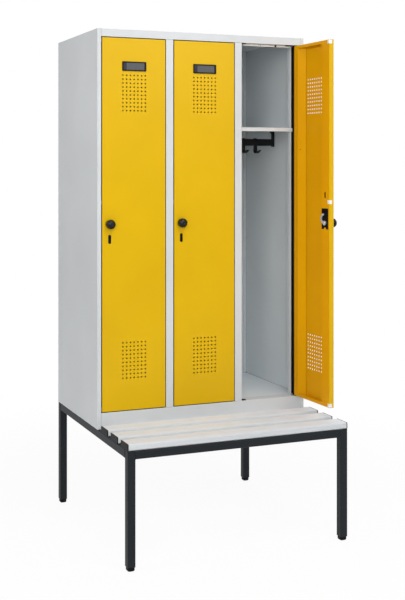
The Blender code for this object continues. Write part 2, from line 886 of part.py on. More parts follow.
def build_doors(paint, plastic, label_finish, steel):
    shell = door_shell_mesh()
    rod = shaded_smooth(pivot_rod_mesh())
    label = label_holder_mesh()
    case = lock_case_mesh()
    knob = shaded_smooth(knob_mesh())
    latch = latch_mesh()
    for index in range(compartments):
        number = index + 1
        pivot = add_empty(f"door_{number}_pivot", (pivot_x(index), cabinet_front + pivot_depth, 0))
        if index == compartments - 1:
            pivot.rotation_euler.z = math.radians(door_open_angle)
        add_part(f"door_{number}_shell", shell, paint, parent=pivot)
        add_part(f"door_{number}_pivot_rod", rod, steel, parent=pivot)
        label_x = pivot_inset - door_width / 2
        label_place = (label_x, door_front_local - fit_gap, label_centre_height)
        add_part(f"door_{number}_label_holder", label, label_finish, label_place, pivot)
        case_place = (knob_local_x, 0, knob_height)
        add_part(f"door_{number}_lock_case", case, plastic, case_place, pivot)
        turn = add_empty(f"door_{number}_knob_axis", (knob_local_x, door_front_local, knob_height), pivot)
        add_part(f"door_{number}_knob", knob, plastic, parent=turn)
        latch_place = (0, latch_front - door_front_local, 0)
        add_part(f"door_{number}_latch", latch, steel, latch_place, turn)


def main():
    for leftover in list(bpy.data.objects):
        bpy.data.objects.remove(leftover)
    grey_paint = painted("light_grey_paint", 214, 216, 217, 0.45, 0.0)
    yellow_paint = painted("yellow_paint", 228, 184, 28, 0.4, 0.0)
    tube_paint = painted("anthracite_paint", 44, 47, 51, 0.5, 0.0)
    seat_finish = painted("light_grey_seat", 219, 220, 219, 0.5, 0.0)
    black_plastic = painted("black_plastic", 22, 22, 24, 0.45, 0.0)
    label_plastic = painted("dark_grey_plastic", 70, 72, 74, 0.5, 0.0)
    bright_steel = painted("bright_steel", 196, 198, 202, 0.3, 1.0)
    black_steel = painted("black_steel", 30, 31, 33, 0.45, 0.0)
    build_frame(tube_paint, black_plastic)
    build_seat(seat_finish, black_plastic)
    build_carcass(grey_paint)
    build_fittings(grey_paint, black_steel, black_steel)
    build_doors(yellow_paint, black_plastic, label_plastic, bright_steel)


main()
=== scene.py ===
import math

import bmesh
import bpy
from mathutils import Matrix, Vector


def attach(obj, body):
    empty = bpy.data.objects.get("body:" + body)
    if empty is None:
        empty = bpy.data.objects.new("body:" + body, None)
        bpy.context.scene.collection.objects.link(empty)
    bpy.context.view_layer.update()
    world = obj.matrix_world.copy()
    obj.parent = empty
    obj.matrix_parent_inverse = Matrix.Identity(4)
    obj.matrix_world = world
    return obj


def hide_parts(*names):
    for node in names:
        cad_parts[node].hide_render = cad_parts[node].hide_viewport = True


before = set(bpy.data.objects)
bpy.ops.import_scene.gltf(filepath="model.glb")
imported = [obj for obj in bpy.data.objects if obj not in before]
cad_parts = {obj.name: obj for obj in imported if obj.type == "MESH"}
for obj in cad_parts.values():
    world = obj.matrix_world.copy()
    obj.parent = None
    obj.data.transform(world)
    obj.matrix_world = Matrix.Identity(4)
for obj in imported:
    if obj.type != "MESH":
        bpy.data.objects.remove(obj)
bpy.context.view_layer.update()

print("locker: frame loaded with", len(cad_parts), "nodes")

# sizes shared by the pieces, in metres
cabinet = {
    "width": 0.900, "depth": 0.500, "base": 0.425, "top": 1.955, "frontY": -0.090,
    "sheet": 0.0012, "gap": 0.0003, "stile": 0.0155, "pitch": 0.300, "compartments": 3,
    "openLow": 0.487, "openHigh": 1.925, "stopY": 0.0211, "strikeLip": 0.008,
    "channelWide": 0.030, "channelDeep": 0.046, "channelLip": 0.004, "rearFlange": 0.015,
    "shelfZ": 1.587, "foldRadius": 0.0015, "cutBevel": 0.00025,
}
door = {
    "width": 0.262, "low": 0.490, "high": 1.922, "thick": 0.020, "hingeIn": 0.010, "pivotY": 0.0075,
    "sideGap": 0.003, "openAngle": 92.0, "edgeRadius": 0.0014, "lockFlange": 0.054, "hingeFlange": 0.037,
    "ramp": 0.035, "rampRadius": 0.004, "endLip": 0.013, "knobIn": 0.030, "knobZ": 1.207, "labelZ": 1.814,
}
overrun = 0.002  # how far a cutter reaches past what it cuts
slack = 0.0005  # room round a piece in its notch or window
halfRound = 12  # facets of a small half circle


def taken(look, names):
    return [look[name] for name in names.split()]


sheet, gap, stile, pitch, frontY, depth = taken(cabinet, "sheet gap stile pitch frontY depth")
base, top, openLow, openHigh, stopY, shelfZ = taken(cabinet, "base top openLow openHigh stopY shelfZ")
strikeLip, channelWide = taken(cabinet, "strikeLip channelWide")
channelDeep, channelLip = taken(cabinet, "channelDeep channelLip")
compartments = range(cabinet["compartments"])
halfWidth = cabinet["width"] / 2
middles = [-halfWidth + pitch * (index + 0.5) for index in compartments]
openWide = pitch - 2 * stile
bodyTop = top - sheet - gap
bodyBase = base + gap
wallRear = depth - 2 * sheet - 2 * gap
channelRear = channelDeep + sheet + gap
doorLow, doorHigh, knobZ, hingeX = taken(door, "low high knobZ hingeIn")
freeX = hingeX - door["width"]
middleX = hingeX - door["width"] / 2
skinY = -door["pivotY"]
backY = skinY + door["thick"]
knobX = freeX + door["knobIn"]


# shader and geometry trees

def linear(colour):
    # sRGB 0-255 to the linear colour that a node takes
    parts = []
    for value in colour:
        part = value / 255
        parts.append(part / 12.92 if part <= 0.04045 else ((part + 0.055) / 1.055) ** 2.4)
    return (*parts, 1.0)


masks = {  # the ranges that run from nothing to all, and the rays that find an edge or a gap
    "edge": (0.98, 0.80), "edgeRays": 4, "crevice": (0.72, 0.24), "creviceRays": 6, "up": (0.75, 0.98),
}


class Wire:
    # one output socket; arithmetic on it adds Math nodes
    def __init__(self, graph, socket):
        self.graph = graph
        self.socket = socket

    def math(self, operation, first, second, clamp=False):
        return self.graph.add("ShaderNodeMath", {0: first, 1: second}, operation=operation, use_clamp=clamp)

    def __add__(self, other):
        return self.math("ADD", self, other)

    def __radd__(self, other):
        return self.math("ADD", other, self)

    def __sub__(self, other):
        return self.math("SUBTRACT", self, other)

    def __rsub__(self, other):
        return self.math("SUBTRACT", other, self)

    def __mul__(self, other):
        return self.math("MULTIPLY", self, other)

    def __rmul__(self, other):
        return self.math("MULTIPLY", other, self)

    def clamped(self):
        return self.math("ADD", self, 0.0, clamp=True)


class Graph:
    # adds nodes to one tree, inputs by key and settings by keyword, and gives back one output
    def __init__(self, tree):
        self.tree = tree

    def add(self, kind, inputs=None, out=0, **settings):
        node = self.tree.nodes.new(kind)
        for name, value in settings.items():
            setattr(node, name, value)
        for key, value in (inputs or {}).items():
            if isinstance(value, Wire):
                self.tree.links.new(value.socket, node.inputs[key])
            else:
                node.inputs[key].default_value = value
        return Wire(self, node.outputs[out]) if node.outputs else node

    def blend(self, share, first, second):
        # a mix of two colours; a plain one is sRGB 0-255
        first, second = (part if isinstance(part, Wire) else linear(part) for part in (first, second))
        return self.add("ShaderNodeMix", {0: share, 6: first, 7: second}, 2, data_type="RGBA")

    def tinted(self, colour, mask, look, key):
        # lays one of the look's colours over another by its share
        return self.blend(mask * look[key + "Share"], colour, look[key])

    def ranged(self, value, low, high, toLow=0.0, toHigh=1.0):
        inputs = {0: value, 1: low, 2: high, 3: toLow, 4: toHigh}
        return self.add("ShaderNodeMapRange", inputs, interpolation_type="SMOOTHSTEP")

    def noise(self, place, scale, detail=2.0, rough=0.5):
        inputs = {"Vector": place, "Scale": scale, "Detail": detail, "Roughness": rough}
        return self.add("ShaderNodeTexNoise", inputs)

    def stretched(self, place, scale):
        return self.add("ShaderNodeMapping", {"Vector": place, "Scale": scale})

    def wornEdge(self, radius):
        # 1 where the surface turns over an edge within the radius
        soft = self.add("ShaderNodeBevel", {"Radius": radius}, samples=masks["edgeRays"])
        true = self.add("ShaderNodeNewGeometry", out="Normal")
        alike = self.add("ShaderNodeVectorMath", {0: soft, 1: true}, "Value", operation="DOT_PRODUCT")
        return self.ranged(alike, *masks["edge"])

    def crevice(self, reach):
        # 1 deep in a narrow gap, 0 in the open; it masks the painted shade
        rays = masks["creviceRays"]
        clear = self.add("ShaderNodeAmbientOcclusion", {"Distance": reach}, "AO", samples=rays)
        return self.ranged(clear, *masks["crevice"])

    def facingUp(self):
        true = self.add("ShaderNodeNewGeometry", out="Normal")
        upward = self.add("ShaderNodeSeparateXYZ", {0: true}, out="Z")
        return self.ranged(upward, *masks["up"])


def newFinish(name):
    finish = bpy.data.materials.new(name)
    finish.use_nodes = True
    graph = Graph(finish.node_tree)
    place = graph.add("ShaderNodeTexCoord", out="Object")
    return finish, graph, place


def feed(graph, colour, roughness, height, bumpDepth, **plain):
    # links what varies to the shader and sets what doesn't
    inputs = {"Height": height, "Distance": bumpDepth, "Strength": 1.0}
    normal = graph.add("ShaderNodeBump", inputs)
    shader = graph.tree.nodes["Principled BSDF"]
    for name, wire in (("Base Color", colour), ("Roughness", roughness), ("Normal", normal)):
        graph.tree.links.new(wire.socket, shader.inputs[name])
    names = {"specular": "Specular IOR Level", "metal": "Metallic"}
    for key, value in plain.items():
        shader.inputs[names[key]].default_value = value


# finishes

def powderCoat(name, look):
    # baked paint on sheet steel: orange peel, slow tone drift, handled edges, a little dust on top, and
    # painted shade deep in gaps
    finish, graph, place = newFinish(name)
    cloud = graph.noise(place, look["cloudScale"], 3.0)
    speck = graph.noise(place, look["speckScale"], 2.0, 0.6)
    peel = graph.noise(place, look["peelScale"], 1.5, 0.4)
    colour = graph.blend(graph.ranged(cloud, *look["cloudRange"]), look["deep"], look["light"])
    colour = graph.tinted(colour, graph.ranged(speck, *look["speckRange"]), look, "speck")
    rubbed = (graph.wornEdge(look["edgeRadius"]) * graph.ranged(speck, *look["rubRange"])).clamped()
    colour = graph.tinted(colour, rubbed, look, "edge")
    dust = graph.facingUp() * graph.ranged(cloud, *look["dustRange"])
    colour = graph.tinted(colour, dust, look, "dust")
    # painted shade: a dark colour laid deep in gaps and corners, where shade falls
    colour = graph.tinted(colour, graph.crevice(look["paintedShadeReach"]), look, "paintedShade")
    roughness = look["roughness"] + (speck - 0.5) * look["roughSpread"]
    roughness = roughness + dust * look["dustRough"] - rubbed * look["rubRough"]
    height = peel * look["peelShare"] + speck * (1 - look["peelShare"])
    feed(graph, colour, roughness, height, look["peelDepth"], specular=look["specular"])
    return finish


def moulded(name, look):
    # moulded plastic: fine spark texture, faint flow marks, paler rubbed edges, and a paler top that is
    # painted light
    finish, graph, place = newFinish(name)
    flow = graph.noise(graph.stretched(place, look["flow"]), look["flowScale"], 3.0)
    grain = graph.noise(place, look["grainScale"], 2.0, 0.55)
    colour = graph.blend(graph.ranged(flow, *look["flowRange"]), look["deep"], look["light"])
    rubbed = (graph.wornEdge(look["edgeRadius"]) * graph.ranged(grain, *look["rubRange"])).clamped()
    upward = graph.facingUp()
    # painted light: the faces that look up take a paler, cooler colour, as if lit from above
    colour = graph.tinted(colour, upward, look, "paintedTopLight")
    colour = graph.tinted(colour, rubbed, look, "edge")
    dust = upward * graph.ranged(flow, *look["dustRange"])
    colour = graph.tinted(colour, dust, look, "dust")
    roughness = look["roughness"] + (flow - 0.5) * look["roughSpread"] - rubbed * look["rubRough"]
    feed(graph, colour, roughness, grain, look["grainDepth"], specular=look["specular"])
    return finish


def platedSteel(name, look):
    # zinc-plated steel: brushed streaks, soft cloudy bloom
    finish, graph, place = newFinish(name)
    streak = graph.noise(graph.stretched(place, look["brush"]), look["brushScale"], 3.0, 0.6)
    bloom = graph.noise(place, look["bloomScale"], 3.0)
    colour = graph.blend(graph.ranged(bloom, *look["bloomRange"]), look["deep"], look["light"])
    streaks = graph.ranged(streak, *look["streakRange"]) * look["streakShare"]
    colour = graph.blend(streaks, colour, look["edge"])
    colour = graph.tinted(colour, graph.wornEdge(look["edgeRadius"]), look, "edge")
    roughness = look["roughness"] + (streak - 0.5) * look["roughSpread"]
    roughness = roughness + (bloom - 0.5) * look["bloomRough"]
    feed(graph, colour, roughness, streak, look["brushDepth"], metal=look["metal"])
    return finish


greyPaint = {
    "light": (208, 211, 213), "deep": (201, 204, 206), "speck": (189, 192, 194), "speckShare": 0.10,
    "edge": (224, 226, 227), "edgeShare": 0.45, "dust": (204, 204, 202), "dustShare": 0.20,
    # the dark colour laid deep in gaps is painted shade
    "paintedShade": (46, 35, 18), "paintedShadeShare": 0.90, "paintedShadeReach": 0.007,
    "roughness": 0.42, "roughSpread": 0.16, "specular": 0.25, "edgeRadius": 0.0012,
    "cloudScale": 2.6, "speckScale": 260.0, "peelScale": 620.0, "peelDepth": 0.00006, "peelShare": 0.7,
    "cloudRange": (0.30, 0.72), "speckRange": (0.60, 0.75), "rubRange": (0.38, 0.62), "rubRough": 0.08,
    "dustRange": (0.35, 0.75), "dustRough": 0.12,
}
# painted light: a lighter, cooler copy of the grey for the cabinet's inner faces, in place of light reaching
# inside
greyInsidePaintedLight = dict(
    greyPaint, light=(221, 227, 230), deep=(215, 221, 224), speck=(204, 209, 212), edge=(230, 234, 236),
)
yellowPaint = dict(
    greyPaint, light=(219, 176, 3), deep=(213, 170, 2), speck=(201, 157, 4), edge=(232, 190, 26),
    dust=(222, 187, 68), dustShare=0.10, paintedShade=(34, 20, 2), paintedShadeShare=1.0, roughness=0.33, specular=0.20,
)
# painted light: a more orange, less glossy copy of the yellow for the door's inner faces, in place of warm
# light bouncing inside the door
yellowInsidePaintedBounce = dict(
    yellowPaint, light=(227, 162, 4), deep=(219, 154, 3), speck=(203, 140, 5), edge=(236, 184, 20),
    specular=0.06, paintedShadeShare=0.45,
)
darkPaint = dict(
    greyPaint, light=(28, 32, 36), deep=(24, 28, 32), speck=(37, 41, 45), edge=(60, 65, 70), edgeShare=0.40,
    dust=(50, 52, 53), dustShare=0.22, paintedShade=(14, 14, 14), roughness=0.50, speckShare=0.25, specular=0.18,
)
blackPaint = dict(
    darkPaint, light=(27, 28, 30), deep=(21, 22, 24), speck=(36, 37, 39), edge=(66, 68, 70),
    dust=(48, 49, 49), roughness=0.42,
)
seatPlastic = {
    "light": (205, 209, 212), "deep": (199, 203, 206), "edge": (214, 217, 220), "edgeShare": 0.30,
    # the paler, cooler colour on top is painted light from above
    "paintedTopLight": (224, 228, 236), "paintedTopLightShare": 0.85, "dust": (214, 217, 222), "dustShare": 0.30,
    "roughness": 0.46, "roughSpread": 0.20, "specular": 0.25, "edgeRadius": 0.0015,
    "flow": (1.0, 14.0, 14.0), "flowScale": 5.0, "grainScale": 900.0, "grainDepth": 0.00005,
    "flowRange": (0.35, 0.68), "rubRange": (0.35, 0.60), "rubRough": 0.06, "dustRange": (0.40, 0.75),
}
blackPlasticLook = dict(
    seatPlastic, light=(17, 16, 17), deep=(12, 11, 12), edge=(38, 38, 39), edgeShare=0.25, paintedTopLightShare=0.0,
    dust=(38, 37, 36), dustShare=0.12, specular=0.10, edgeRadius=0.0008, flow=(1.0, 1.0, 1.0),
    flowScale=40.0, grainScale=1400.0,
)
knobPlasticLook = dict(blackPlasticLook, roughness=0.26, grainDepth=0.00001, dustShare=0.05, specular=0.22)
labelPlasticLook = dict(
    blackPlasticLook, light=(26, 25, 24), deep=(20, 19, 18), edge=(44, 43, 42), dust=(44, 43, 41),
    roughness=0.40,
)
gripPlasticLook = dict(
    labelPlasticLook, light=(58, 61, 70), deep=(50, 53, 62), edge=(76, 79, 86), dust=(66, 68, 72),
)
cardLook = dict(
    seatPlastic, light=(88, 90, 93), deep=(81, 83, 86), edge=(100, 101, 103), dust=(94, 95, 96),
    paintedTopLightShare=0.0, roughness=0.62, flow=(6.0, 6.0, 1.0), flowScale=60.0, grainScale=2600.0,
    grainDepth=0.00002,
)
rubberLook = dict(
    seatPlastic, light=(242, 242, 238), deep=(232, 232, 227), edge=(250, 250, 248), roughness=0.58,
    paintedTopLightShare=0.0, flow=(1.0, 1.0, 1.0), flowScale=90.0, grainScale=1800.0,
)
zincLook = {
    "light": (232, 232, 232), "deep": (206, 206, 207), "edge": (246, 246, 246), "edgeShare": 0.6,
    "metal": 0.55, "roughness": 0.26, "roughSpread": 0.18, "brush": (60.0, 60.0, 4.0), "brushScale": 30.0,
    "brushDepth": 0.00002, "streakShare": 0.35, "bloomScale": 55.0, "edgeRadius": 0.0006,
    "bloomRange": (0.35, 0.70), "bloomRough": 0.10, "streakRange": (0.45, 0.75),
}

cabinetPaint = powderCoat("cabinetPaint", greyPaint)
cabinetInsidePaintedLight = powderCoat("cabinetInsidePaintedLight", greyInsidePaintedLight)
doorPaint = powderCoat("doorPaint", yellowPaint)
doorInsidePaintedBounce = powderCoat("doorInsidePaintedBounce", yellowInsidePaintedBounce)
framePaint = powderCoat("framePaint", darkPaint)
railPaint = powderCoat("railPaint", blackPaint)
seatFinish = moulded("seatFinish", seatPlastic)
blackPlastic = moulded("blackPlastic", blackPlasticLook)
knobPlastic = moulded("knobPlastic", knobPlasticLook)
labelPlastic = moulded("labelPlastic", labelPlasticLook)
gripPlastic = moulded("gripPlastic", gripPlasticLook)
cardStock = moulded("cardStock", cardLook)
whiteRubber = moulded("whiteRubber", rubberLook)
zincSteel = platedSteel("zincSteel", zincLook)
print("locker: finishes made")


# outlines and meshes

def arc(centre, radius, start, end, steps):
    points = []
    for step in range(steps + 1):
        angle = math.radians(start + (end - start) * step / steps)
        points.append(Vector(centre) + Vector((math.cos(angle), math.sin(angle))) * radius)
    return points


def roundedRectangle(width, height, radius, steps):
    across, up = width / 2 - radius, height / 2 - radius
    points = []
    for x, y, start in ((across, up, 0), (-across, up, 90), (-across, -up, 180), (across, -up, 270)):
        points += arc((x, y), radius, start, start + 90, steps)
    return points


def slotOutline(width, height, steps=8):
    straight = height / 2 - width / 2
    upper = arc((0, straight), width / 2, 0, 180, steps)
    return upper + arc((0, -straight), width / 2, 180, 360, steps)


def circle(radius, steps):
    return arc((0, 0), radius, 0, 360, steps)[:-1]


def shifted(outline, x, y):
    return [Vector(point) + Vector((x, y)) for point in outline]


def leftOf(along):
    return Vector((-along.y, along.x))


def foldLines(path, radius, steps=5):
    # the two faces of a sheet folded along a path, its thickness on the path's left, with round bends
    points = [Vector(point) for point in path]
    first = (points[1] - points[0]).normalized()
    last = (points[-1] - points[-2]).normalized()
    near, far = [points[0]], [points[0] + leftOf(first) * sheet]
    for before, corner, after in zip(points, points[1:], points[2:]):
        into, onward = (corner - before).normalized(), (after - corner).normalized()
        turn = math.atan2(into.x * onward.y - into.y * onward.x, into.dot(onward))
        side = 1 if turn > 0 else -1
        nearRadius = radius if side > 0 else radius - sheet
        start = corner - into * (nearRadius * math.tan(abs(turn) / 2))
        centre = start + leftOf(into) * (side * nearRadius)
        spoke = (start - centre).normalized()
        count = max(2, round(steps * abs(turn) / (math.pi / 2)))
        for step in range(count + 1):
            arm = Matrix.Rotation(turn * step / count, 2) @ spoke
            near.append(centre + arm * nearRadius)
            far.append(centre + arm * (nearRadius - side * sheet))
    near.append(points[-1])
    far.append(points[-1] + leftOf(last) * sheet)
    return near, far


def ring(outline, level, axis):
    # a flat outline put at a level along an axis
    at = "XYZ".index(axis)
    return [Vector((*point[:at], level, *point[at:])) for point in outline]


def asMesh(shape, name="shape", recalculated=True):
    if recalculated:
        bmesh.ops.recalc_face_normals(shape, faces=shape.faces)
    mesh = bpy.data.meshes.new(name)
    shape.to_mesh(mesh)
    shape.free()
    return mesh


def loft(rings):
    shape = bmesh.new()
    loops = [[shape.verts.new(point) for point in outline] for outline in rings]
    count = len(loops[0])
    for near, far in zip(loops, loops[1:]):
        for index in range(count):
            following = (index + 1) % count
            shape.faces.new((near[index], near[following], far[following], far[index]))
    shape.faces.new(loops[0][::-1])
    shape.faces.new(loops[-1])
    return asMesh(shape)


def prism(outline, low, high, axis="Z"):
    return loft([ring(outline, low, axis), ring(outline, high, axis)])


def slab(low, high):
    outline = ((low[0], low[1]), (high[0], low[1]), (high[0], high[1]), (low[0], high[1]))
    return prism(outline, low[2], high[2])


def folded(path, low, high, axis="Z", radius=cabinet["foldRadius"]):
    lines = foldLines(path, radius)
    shape = bmesh.new()
    ends = [[[shape.verts.new(point) for point in ring(line, level, axis)] for line in lines]
            for level in (low, high)]
    (lowNear, lowFar), (highNear, highFar) = ends
    for a, b in zip(range(len(lowNear) - 1), range(1, len(lowNear))):
        shape.faces.new((lowNear[a], lowNear[b], highNear[b], highNear[a]))
        shape.faces.new((lowFar[b], lowFar[a], highFar[a], highFar[b]))
        shape.faces.new((lowNear[b], lowNear[a], lowFar[a], lowFar[b]))
        shape.faces.new((highNear[a], highNear[b], highFar[b], highFar[a]))
    for a in (0, -1):
        shape.faces.new((lowNear[a], highNear[a], highFar[a], lowFar[a]))
    return asMesh(shape)


def turned(profile, steps):
    # a solid of revolution about Y, from (radius, level) points that start and end on the axis
    shape = bmesh.new()
    first, last = (shape.verts.new((0, level, 0)) for _, level in (profile[0], profile[-1]))
    rings = []
    for radius, level in profile[1:-1]:
        rings.append([shape.verts.new(point) for point in ring(circle(radius, steps), level, "Y")])
    for a in range(steps):
        b = (a + 1) % steps
        shape.faces.new((first, rings[0][a], rings[0][b]))
        shape.faces.new((last, rings[-1][b], rings[-1][a]))
        for near, far in zip(rings, rings[1:]):
            shape.faces.new((near[a], far[a], far[b], near[b]))
    return asMesh(shape)


def gathered(meshes):
    shape = bmesh.new()
    for mesh in meshes:
        shape.from_mesh(mesh)
    return asMesh(shape, "gathered", recalculated=False)


def linked(name, data):
    made = bpy.data.objects.new(name, data)
    bpy.context.scene.collection.objects.link(made)
    return made


def settled(holder):
    # the holder's mesh with its modifiers applied; the holder goes
    evaluated = holder.evaluated_get(bpy.context.evaluated_depsgraph_get())
    result = bpy.data.meshes.new_from_object(evaluated)
    holder.modifiers.clear()
    bpy.data.objects.remove(holder)
    return result


def worked(mesh, *steps):
    # the mesh after a list of modifiers, each given as (type, settings)
    holder = linked("holder", mesh)
    for kind, settings in steps:
        modifier = holder.modifiers.new(kind, kind)
        for name, value in settings.items():
            setattr(modifier, name, value)
    return settled(holder)


def combined(mesh, tools, operation):
    helpers = [linked("helper", tool) for tool in tools]
    settings = {"operation": operation, "solver": "EXACT"}
    result = worked(mesh, *(("BOOLEAN", {**settings, "object": helper}) for helper in helpers))
    for helper in helpers:
        bpy.data.objects.remove(helper)
    return result


def fused(mesh, *others):
    return combined(mesh, others, "UNION")


def carved(mesh, *cutters):
    return combined(mesh, [gathered(cutters)], "DIFFERENCE")


def eased(mesh, width=cabinet["cutBevel"], segments=2, angle=38.0):
    limit = {"limit_method": "ANGLE", "angle_limit": math.radians(angle)}
    return worked(mesh, ("BEVEL", {"width": width, "segments": segments, **limit}))


def shaded(mesh, angle=34.0):
    # smooth over the round bends while the flat faces stay flat
    mesh.shade_smooth()
    mesh.set_sharp_from_angle(angle=math.radians(angle))
    return worked(mesh, ("WEIGHTED_NORMAL", {"weight": 100, "keep_sharp": True}))


def dressed(mesh, look, segments=2, angle=38.0, smooth=34.0):
    # the look's bevel on the edges sharper than the angle, then the shading
    return shaded(eased(mesh, look["bevel"], segments, angle), smooth)


def moved(mesh, x=0.0, y=0.0, z=0.0):
    mesh.transform(Matrix.Translation((x, y, z)))
    return mesh


def piece(name, mesh, finish, body="cabinet", replaced=(), inner=None, innerFaces=()):
    # a finished piece: its mesh already in place, riding on its CAD body
    mesh.materials.clear()
    mesh.materials.append(finish)
    if inner:
        mesh.materials.append(inner)
        mesh.polygons.foreach_set("material_index", innerFaces)
    made = linked(name, mesh)
    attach(made, body)
    if replaced:
        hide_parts(*replaced)


# geometry node trees

def newTree(name, inputs):
    # a tree with the named inputs, and a finish for its result
    tree = bpy.data.node_groups.new(name, "GeometryNodeTree")
    for label, kind in {"Geometry": "Geometry", **inputs, "Finish": "Material"}.items():
        tree.interface.new_socket(label, in_out="INPUT", socket_type="NodeSocket" + kind)
    tree.interface.new_socket("Geometry", in_out="OUTPUT", socket_type="NodeSocketGeometry")
    graph = Graph(tree)
    start = tree.nodes.new("NodeGroupInput")
    return graph, {socket.name: Wire(graph, socket) for socket in start.outputs if socket.name}


def closeTree(graph, geometry, finish):
    real = graph.add("GeometryNodeRealizeInstances", {0: geometry})
    real = graph.add("GeometryNodeSetMaterial", {"Geometry": real, "Material": finish})
    graph.add("NodeGroupOutput", {0: real})
    return graph.tree


def grown(tree, mesh, values):
    # runs a tree on a mesh and gives the result back as a plain mesh
    holder = linked("holder", mesh)
    modifier = holder.modifiers.new("tree", "NODES")
    modifier.node_group = tree
    for item in tree.interface.items_tree:
        if item.in_out == "INPUT" and item.name in values:
            modifier[item.identifier] = values[item.name]
    return settled(holder)


def pointMesh(points, edges=()):
    mesh = bpy.data.meshes.new("points")
    mesh.from_pydata([tuple(point) for point in points], edges, [])
    return mesh


def perforationTree():
    # square holes on a grid, punched through the sheet that comes in
    graph, wires = newTree("perforations", {
        "Hole": "Float", "Column Pitch": "Float", "Row Pitch": "Float", "Depth": "Float",
        "Columns": "Int", "Rows": "Int", "Centres": "Object"})
    wide = wires["Column Pitch"] * (wires["Columns"] - 1)
    high = wires["Row Pitch"] * (wires["Rows"] - 1)
    grid = graph.add("GeometryNodeMeshGrid", {
        "Size X": wide, "Size Y": high, "Vertices X": wires["Columns"], "Vertices Y": wires["Rows"]})
    upright = graph.add("GeometryNodeTransform", {"Geometry": grid, "Rotation": (math.pi / 2, 0, 0)})
    size = graph.add("ShaderNodeCombineXYZ", {0: wires["Hole"], 1: wires["Depth"], 2: wires["Hole"]})
    punch = graph.add("GeometryNodeMeshCube", {"Size": size})
    punches = graph.add("GeometryNodeInstanceOnPoints", {"Points": upright, "Instance": punch})
    field = graph.add("GeometryNodeRealizeInstances", {0: punches})
    centres = graph.add("GeometryNodeObjectInfo", {"Object": wires["Centres"]}, out="Geometry")
    fields = graph.add("GeometryNodeInstanceOnPoints", {"Points": centres, "Instance": field})
    fields = graph.add("GeometryNodeRealizeInstances", {0: fields})
    meshes = {"Mesh 1": wires["Geometry"], "Mesh 2": fields}
    cut = graph.add("GeometryNodeMeshBoolean", meshes, operation="DIFFERENCE", solver="EXACT")
    return closeTree(graph, cut, wires["Finish"])


def slatTree():
    # closed bars with rounded corners side by side, swept along X
    graph, wires = newTree("slats", {
        "Length": "Float", "Depth": "Float", "Height": "Float", "Corner": "Float", "Spacing": "Float",
        "Count": "Int"})
    half = wires["Length"] * 0.5
    start = graph.add("ShaderNodeCombineXYZ", {0: half * -1.0})
    end = graph.add("ShaderNodeCombineXYZ", {0: half})
    line = graph.add("GeometryNodeCurvePrimitiveLine", {"Start": start, "End": end})
    sides = {0: wires["Depth"], 1: wires["Height"]}
    section = graph.add("GeometryNodeCurvePrimitiveQuadrilateral", sides)
    section = graph.add("GeometryNodeFilletCurve", {"Curve": section, "Radius": wires["Corner"]})
    section = graph.add("GeometryNodeResampleCurve", {"Curve": section, "Count": 96})
    bar = graph.add("GeometryNodeCurveToMesh", {0: line, "Profile Curve": section, "Fill Caps": True})
    step = graph.add("ShaderNodeCombineXYZ", {1: wires["Spacing"]})
    row = graph.add("GeometryNodeMeshLine", {"Count": wires["Count"], "Offset": step})
    bars = graph.add("GeometryNodeInstanceOnPoints", {"Points": row, "Instance": bar})
    return closeTree(graph, bars, wires["Finish"])


def beadTree():
    # a weld bead of slightly uneven thickness along the edges that come in
    graph, wires = newTree("weldBead", {"Radius": "Float", "Ripple": "Float", "Step": "Float", "Seed": "Int"})
    line = graph.add("GeometryNodeMeshToCurve", {0: wires["Geometry"]})
    inputs = {"Curve": line, "Length": wires["Step"]}
    line = graph.add("GeometryNodeResampleCurve", inputs, mode="LENGTH")
    inputs = {2: 1.0 - wires["Ripple"], 3: wires["Ripple"] + 1.0, "Seed": wires["Seed"]}
    swell = graph.add("FunctionNodeRandomValue", inputs, 1, data_type="FLOAT")
    line = graph.add("GeometryNodeSetCurveRadius", {"Curve": line, "Radius": swell})
    section = graph.add("GeometryNodeCurvePrimitiveCircle", {"Resolution": 8, "Radius": wires["Radius"]})
    bead = graph.add("GeometryNodeCurveToMesh", {0: line, "Profile Curve": section, "Fill Caps": True})
    return closeTree(graph, bead, wires["Finish"])


def copiesTree():
    # one small fitting repeated at every point that comes in
    graph, wires = newTree("copies", {"Fitting": "Object"})
    fitting = graph.add("GeometryNodeObjectInfo", {"Object": wires["Fitting"]}, out="Geometry")
    inputs = {"Points": wires["Geometry"], "Instance": fitting}
    copies = graph.add("GeometryNodeInstanceOnPoints", inputs)
    return closeTree(graph, copies, wires["Finish"])


perforations = perforationTree()
slats = slatTree()
weldBead = beadTree()
copies = copiesTree()


def repeated(mesh, points, finish):
    fitting = linked("fitting", mesh)
    result = grown(copies, pointMesh(points), {"Fitting": fitting, "Finish": finish})
    bpy.data.objects.remove(fitting)
    return result


print("locker: node trees made")


# cabinet, drawn with its front at y = 0 and then moved back

roofLook = {"stopDrop": 0.0085}
floorLook = {"hem": 0.018}
shelfLook = {"flange": 0.015, "rearFlange": 0.012, "bandRight": 0.1112, "bandDrop": 0.0008}
apronHalf = halfWidth - stile - gap
rebateY = stopY - gap
hair = 0.0001  # keeps faces that touch from lying in one plane


def lockPath(face, outward):
    return [(face - outward * strikeLip, stopY), (face, stopY), (face, 0)]


def hingePath(face, outward):
    channel = face - outward * channelWide
    lip = channel - outward * channelLip
    return [(lip, stopY), (channel, stopY), (channel, channelDeep), (face, channelDeep), (face, 0)]


def shelfNotch(start, end):
    low = (min(start, end), stopY - overrun, shelfZ - shelfLook["flange"] - slack)
    return slab(low, (max(start, end), stopY + sheet + slack, shelfZ + slack))


def lockNotch(face, outward):
    return shelfNotch(face + outward * sheet / 2, face - outward * (strikeLip + overrun))


def hingeNotch(face, outward):
    channel = face - outward * channelWide
    return shelfNotch(channel + outward * (sheet + overrun), channel - outward * (channelLip + overrun))


